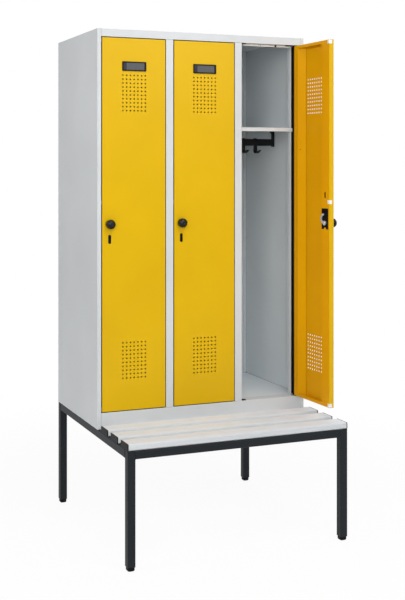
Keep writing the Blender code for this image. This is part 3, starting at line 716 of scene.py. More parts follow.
def wallsOf(index):
    left = middles[index] - pitch / 2 + sheet / 2 + gap
    right = middles[index] + pitch / 2 - sheet / 2 - gap
    if index == compartments[0]:
        left = -halfWidth + sheet + gap
    if index == compartments[-1]:
        right = halfWidth - sheet - gap
    return left, right


def sidePanel(side):
    outer, face, rear = side * halfWidth, side * (halfWidth - stile), depth - sheet - gap
    rebate = hingePath(face, 1) if side > 0 else lockPath(face, -1)
    notch = hingeNotch(face, 1) if side > 0 else lockNotch(face, -1)
    path = rebate + [(outer, 0), (outer, rear), (outer - side * cabinet["rearFlange"], rear)]
    panel = folded(path if side > 0 else path[::-1], bodyBase, bodyTop)
    return eased(carved(panel, notch))


def partition():
    path = hingePath(-stile, 1) + lockPath(stile, -1)[::-1]
    low, high = openLow + gap, openHigh - gap
    wall = slab((-sheet / 2, sheet / 2, low), (sheet / 2, wallRear, high))
    head = slab((-sheet / 2, channelRear, high - sheet), (sheet / 2, wallRear, bodyTop))
    post = fused(folded(path, low, high), wall, head)
    return eased(carved(post, hingeNotch(-stile, 1), lockNotch(stile, -1)))


def roof():
    path = [(depth, top), (0, top), (0, openHigh), (rebateY, openHigh)]
    others = []
    for side in (-1, 1):
        ends = sorted((side * apronHalf, side * halfWidth))
        others.append(slab((ends[0], 0, top - sheet), (ends[1], depth, top)))
    stop = [(rebateY - sheet, openHigh), (stopY, openHigh), (stopY, openHigh - roofLook["stopDrop"])]
    for middle in middles:
        left = middle - openWide / 2 + strikeLip + gap
        right = middle + openWide / 2 - channelWide - channelLip - gap
        others.append(folded(stop, left, right, "X"))
    return eased(fused(folded(path, -apronHalf, apronHalf, "X"), *others))


def floorSheet():
    hem = [(rebateY, openLow), (0, openLow), (0, bodyBase), (floorLook["hem"], bodyBase)]
    apron = folded(hem, -apronHalf, apronHalf, "X")
    left = -halfWidth + stile + strikeLip + gap
    right = halfWidth - stile - channelWide - channelLip - gap
    neck = slab((left, rebateY - sheet, openLow - sheet), (right, channelRear + sheet, openLow))
    inside = halfWidth - sheet - gap
    tray = slab((-inside, channelRear, openLow - sheet), (inside, wallRear, openLow))
    return eased(fused(apron, neck, tray))


def hatShelf(index):
    left, right = wallsOf(index)
    centre, half = middles[index], openWide / 2
    flange, rearFlange, bandRight, bandDrop = taken(shelfLook, "flange rearFlange bandRight bandDrop")
    rear = [(wallRear, shelfZ - rearFlange), (wallRear, shelfZ), (channelRear, shelfZ)]
    board = folded(rear, left - centre, right - centre, "X")
    front = [(channelRear + sheet, shelfZ), (stopY, shelfZ), (stopY, shelfZ - flange)]
    neck = folded(front, -half + strikeLip + gap, half - channelWide - channelLip - gap, "X")
    band = slab((-half + gap, stopY, shelfZ - flange), (bandRight, stopY + sheet, shelfZ - bandDrop))
    return moved(eased(fused(board, neck, band)), centre)


def backSheet():
    return eased(slab((-halfWidth, depth - sheet, bodyBase), (halfWidth, depth, bodyTop)))


def atFront(mesh):
    return moved(mesh, y=frontY)


def withinCabinet(face):
    # the inner faces of the walls, the floor, the roof and the shelves
    x, y, z = face.center
    skin = sheet / 2
    inward = abs(x) < halfWidth - skin and channelDeep < y < depth - skin
    return int(inward and openLow - skin < z < top - skin)


def cabinetPiece(name, mesh, node):
    mesh = shaded(mesh)
    innerFaces = [withinCabinet(face) for face in mesh.polygons]
    # the inner faces take the lighter copy of the grey, which is painted light
    piece(name, atFront(mesh), cabinetPaint, "cabinet", [node], cabinetInsidePaintedLight, innerFaces)


cabinetPiece("sheet_left_side", sidePanel(-1), "left_side_panel")
cabinetPiece("sheet_right_side", sidePanel(1), "right_side_panel")
cabinetPiece("sheet_roof", roof(), "top_panel")
cabinetPiece("sheet_floor", floorSheet(), "bottom_panel")
post = partition()
for index in compartments[1:]:
    copy = moved(post.copy(), middles[index] - pitch / 2)
    cabinetPiece(f"sheet_partition_{index}", copy, f"partition_{index}")
for index in compartments:
    cabinetPiece(f"sheet_hat_shelf_{index + 1}", hatShelf(index), f"hat_shelf_{index + 1}")
cabinetPiece("sheet_rear", backSheet(), "rear_panel")

weldMarks = {
    "radius": 0.0032, "proud": 0.0004, "sunk": 0.0002, "rows": 13, "edge": 0.008, "endGap": 0.04,
    "steps": 14, "crown": ((0.97, 0.3), (0.7, 1), (0.35, 0.6), (0, 0.5)),  # shares of radius and height
}
trimLook = {
    "stripWide": 0.0262, "stripThick": 0.0022, "stripSide": 0.0012, "stripEnd": 0.0025,
    "bushLong": 0.017, "bushWide": 0.0195, "bushProud": 0.0026, "bushCorner": 0.0020, "bushIn": 0.0125,
    "bushY": 0.0108, "bracketLong": 0.058, "bracketIn": 0.004, "padThick": 0.0008, "padStart": 0.0165,
    "padEnd": 0.001, "slotLong": 0.009, "slotX": 0.0300, "slotDeep": 0.0006, "markEnd": 0.0004,
    "seamX": -0.0393, "seamWide": 0.001, "stripBevel": 0.0008, "bushBevel": 0.0003, "padBevel": 0.0003,
}


def domed(look, *levels):
    # low round head with a sunk foot, straight up to the levels and then its crown
    r, proud, sunk, steps = taken(look, "radius proud sunk steps")
    profile = [(0, -sunk), (r, -sunk)] + [(r, level) for level in levels]
    return turned(profile + [(r * wide, proud * high) for wide, high in look["crown"]], steps)


def weldMarkPoints():
    # spot welds down the back sheet, over the side flanges and the partitions
    edge, endGap, rows = taken(weldMarks, "edge endGap rows")
    columns = [side * (halfWidth - edge) for side in (-1, 1)]
    columns += [middle - pitch / 2 for middle in middles[1:]]
    low, high = bodyBase + endGap, bodyTop - endGap
    levels = [low + (high - low) * row / (rows - 1) for row in range(rows)]
    return [(x, frontY + depth, z) for x in columns for z in levels]


def hingeShadowStrip(middle):
    # black strip in the bottom of a hinge channel, a dark sheet that stands in for the shade there
    wide, thick, side, end = taken(trimLook, "stripWide stripThick stripSide stripEnd")
    right = middle + openWide / 2 - side
    low = (right - wide, channelDeep - thick, openLow + end)
    return eased(slab(low, (right, channelDeep - hair, openHigh - end)), trimLook["stripBevel"], 3)


def bushPoints():
    # the corners of every opening but the one that takes a bracket, on the floor's and the roof's hems
    proud, inward, y = taken(trimLook, "bushProud bushIn bushY")
    points = []
    for middle in middles:
        for side, z, step in ((-1, openLow, 1), (1, openLow, 1), (-1, openHigh, -1)):
            points.append((middle + side * (openWide / 2 - inward), y, z + step * proud / 2))
    return points


def bushShape(long=trimLook["bushLong"]):
    outline = roundedRectangle(long, trimLook["bushWide"], trimLook["bushCorner"], 6)
    half = trimLook["bushProud"] / 2 - hair / 2
    return eased(prism(outline, -half, half), trimLook["bushBevel"])


def topBrackets():
    # long pivot plate under the roof's hem at the hinge side
    long, inward, proud, y = taken(trimLook, "bracketLong bracketIn bushProud bushY")
    right, z = openWide / 2 - inward, openHigh - proud / 2
    return gathered([moved(bushShape(long), middle + right - long / 2, y, z) for middle in middles])


def stopPads():
    # white pad along each door stop, in two lengths with an open slot between them
    start, end, thick, slotX, slotLong = taken(trimLook, "padStart padEnd padThick slotX slotLong")
    left, right = -openWide / 2 + start, openWide / 2 - channelWide - channelLip - end
    low, high = openHigh - roofLook["stopDrop"] + 2 * hair, openHigh - slack
    y, slot = stopY - hair, slotLong / 2
    pads = []
    for x in middles:
        for near, far in ((left, slotX - slot), (slotX + slot, right)):
            pads.append(slab((x + near, y - thick, low), (x + far, y, high)))
    return eased(gathered(pads), trimLook["padBevel"])


def stopMarks():
    # dark floor of the slot, a dark sheet that stands in for the shade of a hole, and a thin seam on each pad
    slotX, slotLong, slotDeep, thick = taken(trimLook, "slotX slotLong slotDeep padThick")
    seamX, seamWide, end = taken(trimLook, "seamX seamWide markEnd")
    drop = roofLook["stopDrop"]
    z, half, wide, narrow = openHigh - drop / 2, drop / 2 - end, slotLong / 2 - gap, seamWide / 2
    marks = []
    for middle in middles:
        slot, seam, face = middle + slotX, middle + seamX, stopY - thick
        marks.append(slab((slot - wide, stopY - slotDeep, z - half), (slot + wide, stopY - hair, z + half)))
        marks.append(slab((seam - narrow, face - 2 * hair, z - half), (seam + narrow, face, z + half)))
    return gathered(marks)


piece("spot_welds", shaded(repeated(domed(weldMarks), weldMarkPoints(), cabinetPaint), 60), cabinetPaint)
for name, mesh, finish in (
    ("hinge_strips", gathered(map(hingeShadowStrip, middles)), blackPlastic),
    ("pivot_bushes", repeated(bushShape(), bushPoints(), blackPlastic), blackPlastic),
    ("pivot_brackets", topBrackets(), blackPlastic),
    ("stop_pads", stopPads(), whiteRubber),
    ("stop_marks", stopMarks(), blackPlastic),
):
    piece(name, shaded(atFront(mesh)), finish)
print("locker: cabinet made")


# doors, drawn closed about the pivot axis

fieldLook = {
    "Hole": 0.0055, "Depth": 0.006, "Columns": 7, "Rows": 10, "Column Pitch": 0.0155, "Row Pitch": 0.0151,
}
shellLook = {
    "topDrop": 0.211, "bottomRise": 0.192, "keeperDrop": 0.058, "keeper": (0.012, 0.035),
    "slotRise": 0.109, "slot": (0.009, 0.025), "cutDeep": 0.003, "rampLap": 0.003, "insideFrom": 0.001,
    "bevel": 0.0002,
}
caseLook = {
    "free": 0.0214, "hinge": 0.0226, "below": 0.024, "above": 0.057, "notch": 0.008, "proud": 0.0005,
    "ring": (0.0125, 0.0112), "sunk": 0.0006, "fieldX": (-0.014, 0.015), "fieldZ": (0.034, 0.050),
    "steps": 36, "bevel": 0.0005,
}
labelLook = {
    "width": 0.099, "height": 0.036, "thick": 0.003, "corner": 0.0012, "rim": 0.0042, "side": 0.0075,
    "grip": 0.0165, "gripIn": 0.0040, "ridge": 0.0008, "floor": 0.0012, "face": 0.0026, "hollow": 0.0008,
    "card": 0.0017, "bevel": 0.0004, "gripBevel": 0.0002, "cardBevel": 0.0001,
}
knobLook = {
    "radius": 0.018, "reach": 0.0305, "dome": 0.014, "dimple": 0.0045, "dimpleDeep": 0.0022, "rim": 0.0005,
    "dimpleShares": (0.45, 0.8), "domeFrom": 16, "domeSteps": 12, "steps": 64,
    "collar": (  # radius and height off the door, from the dome down
        (0.018, 0.011), (0.0177, 0.0085), (0.0162, 0.0052), (0.0158, 0.0040), (0.0162, 0.0032),
        (0.0162, 0.0010), (0.0156, gap), (0, gap)),
}
keeperLook = {"rim": 0.0016, "deep": 0.0035, "proud": 0.0006, "clear": 0.0004, "bevel": 0.0003}
cupLook = {"wall": 0.0015, "deep": 0.006, "floor": 0.001}
latchLook = {
    "hub": 0.009, "arm": 0.017, "wide": 0.008, "offset": 0.003, "start": -105.0, "end": 82.0,
    "thick": 0.0025, "clear": 0.0004, "steps": 40, "bevel": 0.0005,
}
screwLook = {
    "profile": (  # radius and height over the latch
        (0, -0.0006), (0.0047, -0.0006), (0.0047, 0.0004), (0.0043, 0.0012), (0.0030, 0.0018),
        (0.0014, 0.0021), (0, 0.0022)),
    "slotHalf": 0.0006, "slotFloor": 0.0010, "slotTop": 0.004, "slotReach": 0.006, "steps": 32,
    "bevel": 0.00012,
}
bufferLook = {
    "high": 0.0150, "inner": 0.0120, "wrap": 0.0115, "proud": 0.0008, "heights": (1.9128, 1.2895, 0.4992),
    "bevel": 0.0007,
}
# the black strip on the hinge edge stands in for the shade in the groove
edgeShadowLook = {"back": 0.0115, "wrap": 0.006, "proud": 0.0008, "endGap": 0.0005, "bevel": 0.0003}
rivetLook = {
    "radius": 0.0019, "proud": 0.0009, "sunk": 0.0005, "x": -0.048, "z": 1.498, "steps": 18,
    "crown": ((0.85, 0.6), (0.5, 0.92), (0, 1)),
}
caseBack = backY + caseLook["proud"]
latchY = skinY + stopY + sheet + latchLook["clear"]


def caseOutline(growth):
    free, hinge, below, above, radius = taken(caseLook, "free hinge below above notch")
    left, right, low, high = -free - growth, hinge + growth, -below - growth, above + growth
    notch = arc((0, low), radius - growth, 180, 0, halfRound)
    return [(left, low)] + notch + [(right, low), (right, high), (left, high)]


def doorShell():
    edge, lip, flange = door["edgeRadius"], door["endLip"], hingeX - door["hingeFlange"]
    outside = eased(slab((freeX, skinY, doorLow), (hingeX, backY, doorHigh)), edge, 3)
    innerLow = (freeX + sheet, skinY + sheet, doorLow + sheet)
    inside = eased(slab(innerLow, (hingeX - sheet, backY - sheet, doorHigh - sheet)), edge - sheet, 3)
    window = slab((freeX + door["lockFlange"], backY - 2 * overrun, doorLow + lip),
                  (flange, backY + 2 * overrun, doorHigh - lip))
    shell = carved(carved(outside, inside), window)
    rampEnd = (flange - door["ramp"], skinY + 2 * sheet + gap)
    path = [(flange + shellLook["rampLap"], backY), (flange, backY), rampEnd]
    shell = fused(shell, folded(path, doorLow + sheet / 2, doorHigh - sheet / 2, "Z", door["rampRadius"]))
    keeper = shifted(slotOutline(*shellLook["keeper"]), knobX, knobZ - shellLook["keeperDrop"])
    slot = shifted(slotOutline(*shellLook["slot"]), knobX, knobZ + shellLook["slotRise"])
    case = shifted(caseOutline(slack), knobX, knobZ)
    deep = shellLook["cutDeep"]
    skin, back = (skinY - overrun, skinY + deep, "Y"), (backY - deep, backY + overrun, "Y")
    shell = carved(shell, prism(keeper, *skin), prism(slot, *back), prism(case, *back))
    levels = (doorHigh - shellLook["topDrop"], doorLow + shellLook["bottomRise"])
    centres = linked("centres", pointMesh([(middleX, skinY, z) for z in levels]))
    shell = grown(perforations, shell, {**fieldLook, "Centres": centres, "Finish": doorPaint})
    bpy.data.objects.remove(centres)
    return dressed(shell, shellLook)


def insideFace(face):
    # the faces seen when the door is open: back of the flanges and everything in the hollow
    x, y, z = face.center
    skin = sheet / 2
    within = freeX + skin < x < hingeX - skin and doorLow + skin < z < doorHigh - skin
    return int(within and y > skinY + shellLook["insideFrom"])


def labelPieces():
    # dark frame with two pockets, a card in one and a finger grip with a hollow face in the other
    wide, high, thick, corner, rim, side = taken(labelLook, "width height thick corner rim side")
    grip, gripIn, ridge, floor, card = taken(labelLook, "grip gripIn ridge floor card")
    face, hollow = taken(labelLook, "face hollow")
    low, left, right = -high / 2 + rim, -wide / 2, wide / 2 - side
    body = prism(roundedRectangle(wide, high, corner, 3), -thick, 0, "Y")
    pocket = slab((left + grip, -2 * thick, low), (right, -floor, -low))
    groove = slab((left + gripIn, -2 * thick, low), (left + grip - ridge, -floor, -low))
    holder = dressed(carved(body, pocket, groove), labelLook)
    near, far = left + gripIn + gap, left + grip - ridge - gap
    half, middle = (far - near) / 2, (near + far) / 2
    shares = (-1, -0.6, -0.2, 0.2, 0.6, 1)
    outline = [(middle + half * share, -face + hollow * (1 - share * share)) for share in shares]
    pull = prism(outline + [(far, -floor), (near, -floor)], low + gap, -low - gap)
    blank = slab((left + grip + gap, -card, low + gap), (right - gap, -floor, -low - gap))
    pull, blank = eased(pull, labelLook["gripBevel"]), eased(blank, labelLook["cardBevel"])
    meshes = (holder, shaded(pull), shaded(blank))
    return [moved(mesh, middleX, skinY - gap, door["labelZ"]) for mesh in meshes]


def knobShape():
    # domed turn knob with a dimple in the middle and a collar at its foot
    reach, dome, radius, dimple, rim = taken(knobLook, "reach dome radius dimple rim")
    domeFrom, domeSteps, (floorShare, rimShare) = taken(knobLook, "domeFrom domeSteps dimpleShares")
    bottom = -reach + knobLook["dimpleDeep"]
    profile = [(0, bottom), (dimple * floorShare, bottom), (dimple * rimShare, bottom - rim)]
    for step in range(domeSteps + 1):
        angle = math.radians(domeFrom + (90 - domeFrom) * step / domeSteps)
        profile.append((radius * math.sin(angle), -(reach - dome) - dome * math.cos(angle)))
    profile += [(r, -height) for r, height in knobLook["collar"]]
    return shaded(turned(profile, knobLook["steps"]), 50)


def keeperInsert():
    # plastic lining of the keeper slot, with a closed floor
    wide, high = shellLook["keeper"]
    rim, deep, proud, clear = taken(keeperLook, "rim deep proud clear")
    body = prism(slotOutline(wide - clear, high - clear, halfRound), -proud, sheet + deep, "Y")
    well = prism(slotOutline(wide - 2 * rim, high - 2 * rim, halfRound), -overrun, deep, "Y")
    return dressed(carved(body, well), keeperLook)


def innerCup():
    # dark cup behind the slot above the lock
    wide, high = shellLook["slot"]
    wall, deep, floor = taken(cupLook, "wall deep floor")
    mouth = backY - sheet
    outer, inner = (slotOutline(wide + grow, high + grow, halfRound) for grow in (2 * wall, 0))
    body = prism(outer, mouth - deep, mouth - hair, "Y")
    return shaded(carved(body, prism(inner, mouth - deep + floor, backY, "Y")))


def latchShape():
    arm, thick, start, end, steps = taken(latchLook, "arm thick start end steps")
    middle, half = (latchLook["offset"], arm), latchLook["wide"] / 2
    hub = prism(circle(latchLook["hub"], steps), caseBack + gap - latchY, thick, "Y")
    outer, inner = (arc(middle, radius, start, end, steps) for radius in (arm + half, arm - half))
    tip = (outer[-1] + inner[-1]) / 2
    aim = math.degrees(math.atan2(outer[-1].y - tip.y, outer[-1].x - tip.x))
    nose = arc(tip, half, aim, aim + 180, halfRound)[1:-1]
    return dressed(fused(hub, prism(outer + nose + inner[::-1], 0, thick, "Y")), latchLook)


def screwHead():
    # round screw head with a driver slot, on the end of the spindle
    thick, half, reach = latchLook["thick"], screwLook["slotHalf"], screwLook["slotReach"]
    head = turned([(radius, thick + height) for radius, height in screwLook["profile"]], screwLook["steps"])
    low = (-reach, thick + screwLook["slotFloor"], -half)
    slot = slab(low, (reach, thick + screwLook["slotTop"], half))
    return dressed(carved(head, slot), screwLook, smooth=40)


def lockCase():
    # flat case with a groove round the spindle and a shallow field above it
    body = prism(caseOutline(0), skinY + sheet + gap, caseBack, "Y")
    low, high = caseBack - caseLook["sunk"], caseBack + overrun
    outer, inner = (circle(radius, caseLook["steps"]) for radius in caseLook["ring"])
    groove = carved(prism(outer, low, high, "Y"), prism(inner, caseBack - overrun, high + overrun, "Y"))
    (left, right), (bottom, upper) = taken(caseLook, "fieldX fieldZ")
    return dressed(carved(body, groove, slab((left, low, bottom), (right, high, upper))), caseLook)


def bufferShape():
    # soft pad folded over the free edge of the door
    high, inner, wrap, proud = taken(bufferLook, "high inner wrap proud")
    low = (freeX - proud, backY - wrap, -high / 2)
    return dressed(slab(low, (freeX + inner, backY + proud, high / 2)), bufferLook, 3)


def edgeShadowStrip():
    # black strip round the back corner of the hinge edge, a dark sheet that stands in for the shade in the
    # hinge groove
    back, wrap, proud, end = taken(edgeShadowLook, "back wrap proud endGap")
    left, low = hingeX - back, backY - wrap
    outline = ((left, backY + proud), (left, backY + hair), (hingeX + hair, backY + hair),
               (hingeX + hair, low), (hingeX + proud, low), (hingeX + proud, backY + proud))
    return dressed(prism(outline, doorLow + end, doorHigh - end), edgeShadowLook)


def rivetShape():
    # small rivet that stands square on the ramp
    rivet, (x, z) = domed(rivetLook, hair), taken(rivetLook, "x z")
    slope = (backY - skinY - 2 * sheet - gap) / door["ramp"]
    rivet.transform(Matrix.Rotation(math.atan(slope), 4, "Z"))
    return shaded(moved(rivet, hingeX + x, backY - slope * (-door["hingeFlange"] - x), z), 60)


def doorPlace(index):
    pivot = middles[index] + openWide / 2 - door["sideGap"] - hingeX
    angle = math.radians(door["openAngle"]) if index == compartments[-1] else 0.0
    return Matrix.Translation((pivot, frontY + door["pivotY"], 0)) @ Matrix.Rotation(angle, 4, "Z")


shell = doorShell()
print("locker: door shell has", len(shell.polygons), "faces")
slotZ, keeperZ = knobZ + shellLook["slotRise"], knobZ - shellLook["keeperDrop"]
labelHolder, labelGrip, labelCard = labelPieces()
buffers = shaded(repeated(bufferShape(), [(0, 0, z) for z in bufferLook["heights"]], whiteRubber))
doorPieces = (  # name, mesh, finish, node that it replaces, body
    ("folded_door", shell, doorPaint, "shell", "door"),
    ("card_frame", labelHolder, labelPlastic, "label_holder", "door"),
    ("card_grip", labelGrip, gripPlastic, None, "door"),
    ("blank_card", labelCard, cardStock, None, "door"),
    ("keeper_insert", moved(keeperInsert(), knobX, skinY, keeperZ), blackPlastic, None, "door"),
    ("lock_box", moved(lockCase(), knobX, 0, knobZ), blackPlastic, "lock_case", "door"),
    ("slot_cup", moved(innerCup(), knobX, 0, slotZ), blackPlastic, None, "door"),
    ("edge_seal", edgeShadowStrip(), blackPlastic, None, "door"),
    ("buffers", buffers, whiteRubber, None, "door"),
    ("rivet", rivetShape(), blackPlastic, None, "door"),
    ("turn_knob", moved(knobShape(), knobX, skinY, knobZ), knobPlastic, "knob", "knob"),
    ("sickle_latch", moved(latchShape(), knobX, latchY, knobZ), zincSteel, "latch", "knob"),
    ("latch_screw", moved(screwHead(), knobX, latchY, knobZ), zincSteel, None, "knob"),
)
for index in compartments:
    n = index + 1
    for name, drawn, finish, node, body in doorPieces:
        # the door's inner faces take the orange copy of the yellow, which is painted bounce light
        inner = doorInsidePaintedBounce if finish == doorPaint else None
        innerFaces = [insideFace(face) for face in drawn.polygons] if inner else ()
        mesh = drawn.copy()
        mesh.transform(doorPlace(index))
        nodes = [f"door_{n}_{node}"] if node else ()
        piece(f"{name}_{n}", mesh, finish, f"{body}_{n}", nodes, inner, innerFaces)
    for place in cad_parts[f"door_{n}_pivot_rod"].material_slots:
        place.material = zincSteel
print("locker: doors made")


# hook rails and hooks

railLook = {
    "y": 0.210, "top": 1.546, "high": 0.029, "thick": 0.003, "endGap": 0.0185, "strap": 0.015,
    "strapDrop": 0.004, "foot": 0.014, "footThick": 0.003, "gusset": 0.0145, "bevel": 0.0005,
}
hookLook = {
    "offsets": (-0.019, 0.038), "loopWide": 0.013, "wide": 0.018, "tipWide": 0.012, "thick": 0.0025,
    "clear": 0.0004, "backDrop": 0.018, "shoulder": 0.004, "shank": 0.0213, "bend": 0.0095,
    "bendAngle": 110.0, "prong": 0.030, "prongAt": (0.3, 0.6, 0.85, 0.96, 1.0),  # shares of its length
    "narrowing": (0.25, 0.5, 0.75, 0.95), "tipEnd": 0.72, "bevel": 0.0006,
}
railTop, railThick = taken(railLook, "top thick")
railLow = railTop - railLook["high"]


def hookRail():
    # flat rail with a strap at each end that hangs from the shelf by a gusseted foot
    drop, footThick, gusset = taken(railLook, "strapDrop footThick gusset")
    half = pitch / 2 - railLook["endGap"]
    strap = half - railLook["strap"]
    foot, seat = strap - railLook["foot"], shelfZ - sheet - gap
    right = [(strap, railLow), (strap, railLow - drop), (half, railLow - drop), (half, seat), (foot, seat)]
    right += [(foot, seat - footThick), (strap, seat - footThick - gusset), (strap, railTop)]
    outline = right + [(-x, z) for x, z in right[::-1]]
    body = prism(outline, -railThick / 2, railThick / 2, "Y")
    return dressed(body, railLook, angle=12.0, smooth=40)


def bentBar(path, widths, thickness):
    # flat bar bent along (y, z) points, its width along X at each point
    points = [Vector(point) for point in path]
    rings = []
    for index, (point, width) in enumerate(zip(points, widths)):
        before, after = points[max(index - 1, 0)], points[min(index + 1, len(points) - 1)]
        normal = leftOf((after - before).normalized()) * (thickness / 2)
        near, far, half = point - normal, point + normal, width / 2
        spots = ((-half, near), (half, near), (half, far), (-half, far))
        rings.append([Vector((x, *spot)) for x, spot in spots])
    return loft(rings)


def coatHook():
    # bent hook that lies over the rail, its prong narrowing to the tip
    thick, clear, wide, tip = taken(hookLook, "thick clear wide tipWide")
    bendRadius, bendAngle = taken(hookLook, "bend bendAngle")
    reach = railThick / 2 + clear + thick / 2
    half, crest = reach / 2, railTop + clear + thick / 2 - reach / 2
    loop = [(reach, railTop - hookLook["backDrop"])]
    loop += arc((half, crest), half, 0, 90, 4) + arc((-half, crest), half, 90, 180, 4)
    loop.append(Vector((-reach, railLow)))
    bend = [Vector((-reach, railLow - hookLook["shoulder"]))]
    bend += arc((-reach - bendRadius, railLow - hookLook["shank"]), bendRadius, 0, -bendAngle, 14)
    slope = math.radians(bendAngle)
    aim = Vector((-math.sin(slope), -math.cos(slope)))
    prong = [bend[-1] + aim * (hookLook["prong"] * share) for share in hookLook["prongAt"]]
    widths = [hookLook["loopWide"]] * len(loop) + [wide] * len(bend)
    widths += [wide - (wide - tip) * share for share in hookLook["narrowing"]] + [tip * hookLook["tipEnd"]]
    return dressed(bentBar(loop + bend + prong, widths, thick), hookLook, angle=50.0, smooth=40)


railMesh, hookMesh = hookRail(), coatHook()
for index in compartments:
    n, x, y = index + 1, middles[index], frontY + railLook["y"]
    piece(f"rail_{n}", moved(railMesh.copy(), x, y), railPaint, "cabinet", [f"hook_rail_{n}"])
    for offset, side in zip(hookLook["offsets"], ("left", "right")):
        mesh = moved(hookMesh.copy(), x + offset, y)
        piece(f"hook_{n}_{side}_strap", mesh, railPaint, f"hook_{n}_{side}", [f"coat_hook_{n}_{side}"])
print("locker: rails and hooks made")


# bench frame and seat

benchLook = {"front": -0.410, "rear": 0.410}
tubeLook = {"size": 0.030, "corner": 0.003, "bevel": 0.0006}
beadInset = 0.0006
beadLook = {"Radius": 0.0016, "Ripple": 0.16, "Step": 0.0022, "Seed": 7}
footLook = {
    "reach": 0.015, "inset": 0.0015, "round": 0.006, "steps": 8,
    "groove": (  # height and how much narrower the pad is there
        (0.0118, 0), (0.0124, 0.0008), (0.0130, 0.0008), (0.0136, 0), (0.0152, 0)),
}
slatLook = {
    "count": 3, "depth": 0.070, "height": 0.024, "corner": 0.004, "cap": 0.0035, "rearGap": 0.041,
    "lip": 0.0003, "capBevel": 0.0009,
}
size, corner = taken(tubeLook, "size corner")
railZ, legX, middleY = base - size / 2, halfWidth - size / 2, frontY + size / 2
frontLegY, rearLegY = benchLook["front"] + size / 2, benchLook["rear"] - size / 2


def tube(low, high, axis):
    outline = roundedRectangle(size, size, corner, 5)
    return eased(prism(outline, low, high, axis), tubeLook["bevel"], angle=50.0)


def bench():
    tubes = {}
    for row, y in (("front", frontLegY), ("rear", rearLegY)):
        for side, x in (("left", -legX), ("right", legX)):
            tubes[f"{row}_{side}_leg"] = moved(tube(footLook["reach"], base, "Z"), x, y)
    half = benchLook["rear"] - size - gap
    for side, x in (("left", -legX), ("right", legX)):
        tubes[f"{side}_side_rail"] = moved(tube(-half, half, "Y"), x, 0, railZ)
    half = halfWidth - size - gap
    for row, y in (("front", frontLegY), ("middle", middleY), ("rear", rearLegY)):
        tubes[f"{row}_rail"] = moved(tube(-half, half, "X"), 0, y, railZ)
    for name, mesh in tubes.items():
        piece(f"tube_{name}", shaded(mesh, 40), framePaint, "cabinet", [name])


def weldLoops():
    # closed loops of edges round every tube joint
    wide = size - beadInset
    outline = roundedRectangle(wide, wide, corner, 3)
    loops = []
    for side in (-1, 1):
        for y in (frontLegY, middleY, rearLegY):
            loops.append((ring(outline, side * (legX - size / 2), "X"), Vector((0, y, railZ))))
        for y, step in ((frontLegY, 1), (rearLegY, -1)):
            loops.append((ring(outline, y + step * size / 2, "Y"), Vector((side * legX, 0, railZ))))
    points, edges = [], []
    for loop, place in loops:
        start, count = len(points), len(loop)
        points += [point + place for point in loop]
        edges += [(start + a, start + (a + 1) % count) for a in range(count)]
    return pointMesh(points, edges)


def footShape():
    # rounded pad with a shallow groove under the tube
    inset, rounding, steps = taken(footLook, "inset round steps")
    pad = size - 2 * inset
    rings = []
    for step in range(steps + 1):
        angle = math.radians(90 * step / steps)
        width = pad - 2 * rounding * (1 - math.sin(angle))
        outline = roundedRectangle(width, width, rounding * width / pad, 5)
        rings.append(ring(outline, rounding * (1 - math.cos(angle)), "Z"))
    for level, narrower in footLook["groove"]:
        width = pad - narrower
        rings.append(ring(roundedRectangle(width, width, rounding, 5), level, "Z"))
    return loft(rings)


bench()
beads = grown(weldBead, weldLoops(), {**beadLook, "Finish": framePaint})
piece("weld_beads", shaded(beads, 80), framePaint)
corners = [(x, y, 0) for x in (-legX, legX) for y in (frontLegY, rearLegY)]
feet = shaded(repeated(footShape(), corners, blackPlastic), 40)
footNodes = [f"{row}_{side}_foot" for row in ("front", "rear") for side in ("left", "right")]
piece("feet", feet, blackPlastic, "cabinet", footNodes)

slatCount, slatDepth, slatHeight, slatCorner, cap, lip = taken(slatLook, "count depth height corner cap lip")
firstY = benchLook["front"] + slatDepth / 2 + lip
lastY = frontY - slatLook["rearGap"] - slatDepth / 2
spacing = (lastY - firstY) / (slatCount - 1)
slatZ = base + lip + gap + slatHeight / 2
bars = grown(slats, pointMesh([(0, 0, 0)]), {
    "Length": cabinet["width"] - 2 * (cap + gap), "Depth": slatDepth, "Height": slatHeight,
    "Corner": slatCorner, "Spacing": spacing, "Count": slatCount, "Finish": seatFinish})
bars = shaded(moved(bars, 0, firstY, slatZ), 40)
slatNodes = [f"slat_{row + 1}" for row in range(slatCount)]
piece("seat_slats", bars, seatFinish, "cabinet", slatNodes)


def endCap():
    outline = roundedRectangle(slatDepth + 2 * lip, slatHeight + 2 * lip, slatCorner + lip, 6)
    return eased(prism(outline, -cap / 2, cap / 2, "X"), slatLook["capBevel"], 3, 50.0)


capX = halfWidth - cap / 2
capPoints = [(x, firstY + spacing * row, slatZ) for x in (-capX, capX) for row in range(slatCount)]
caps = shaded(repeated(endCap(), capPoints, blackPlastic), 40)
capNodes = [f"{node}_{side}_cap" for node in slatNodes for side in ("left", "right")]
piece("end_caps", caps, blackPlastic, "cabinet", capNodes)
print("locker: bench made")


# floor, camera and light

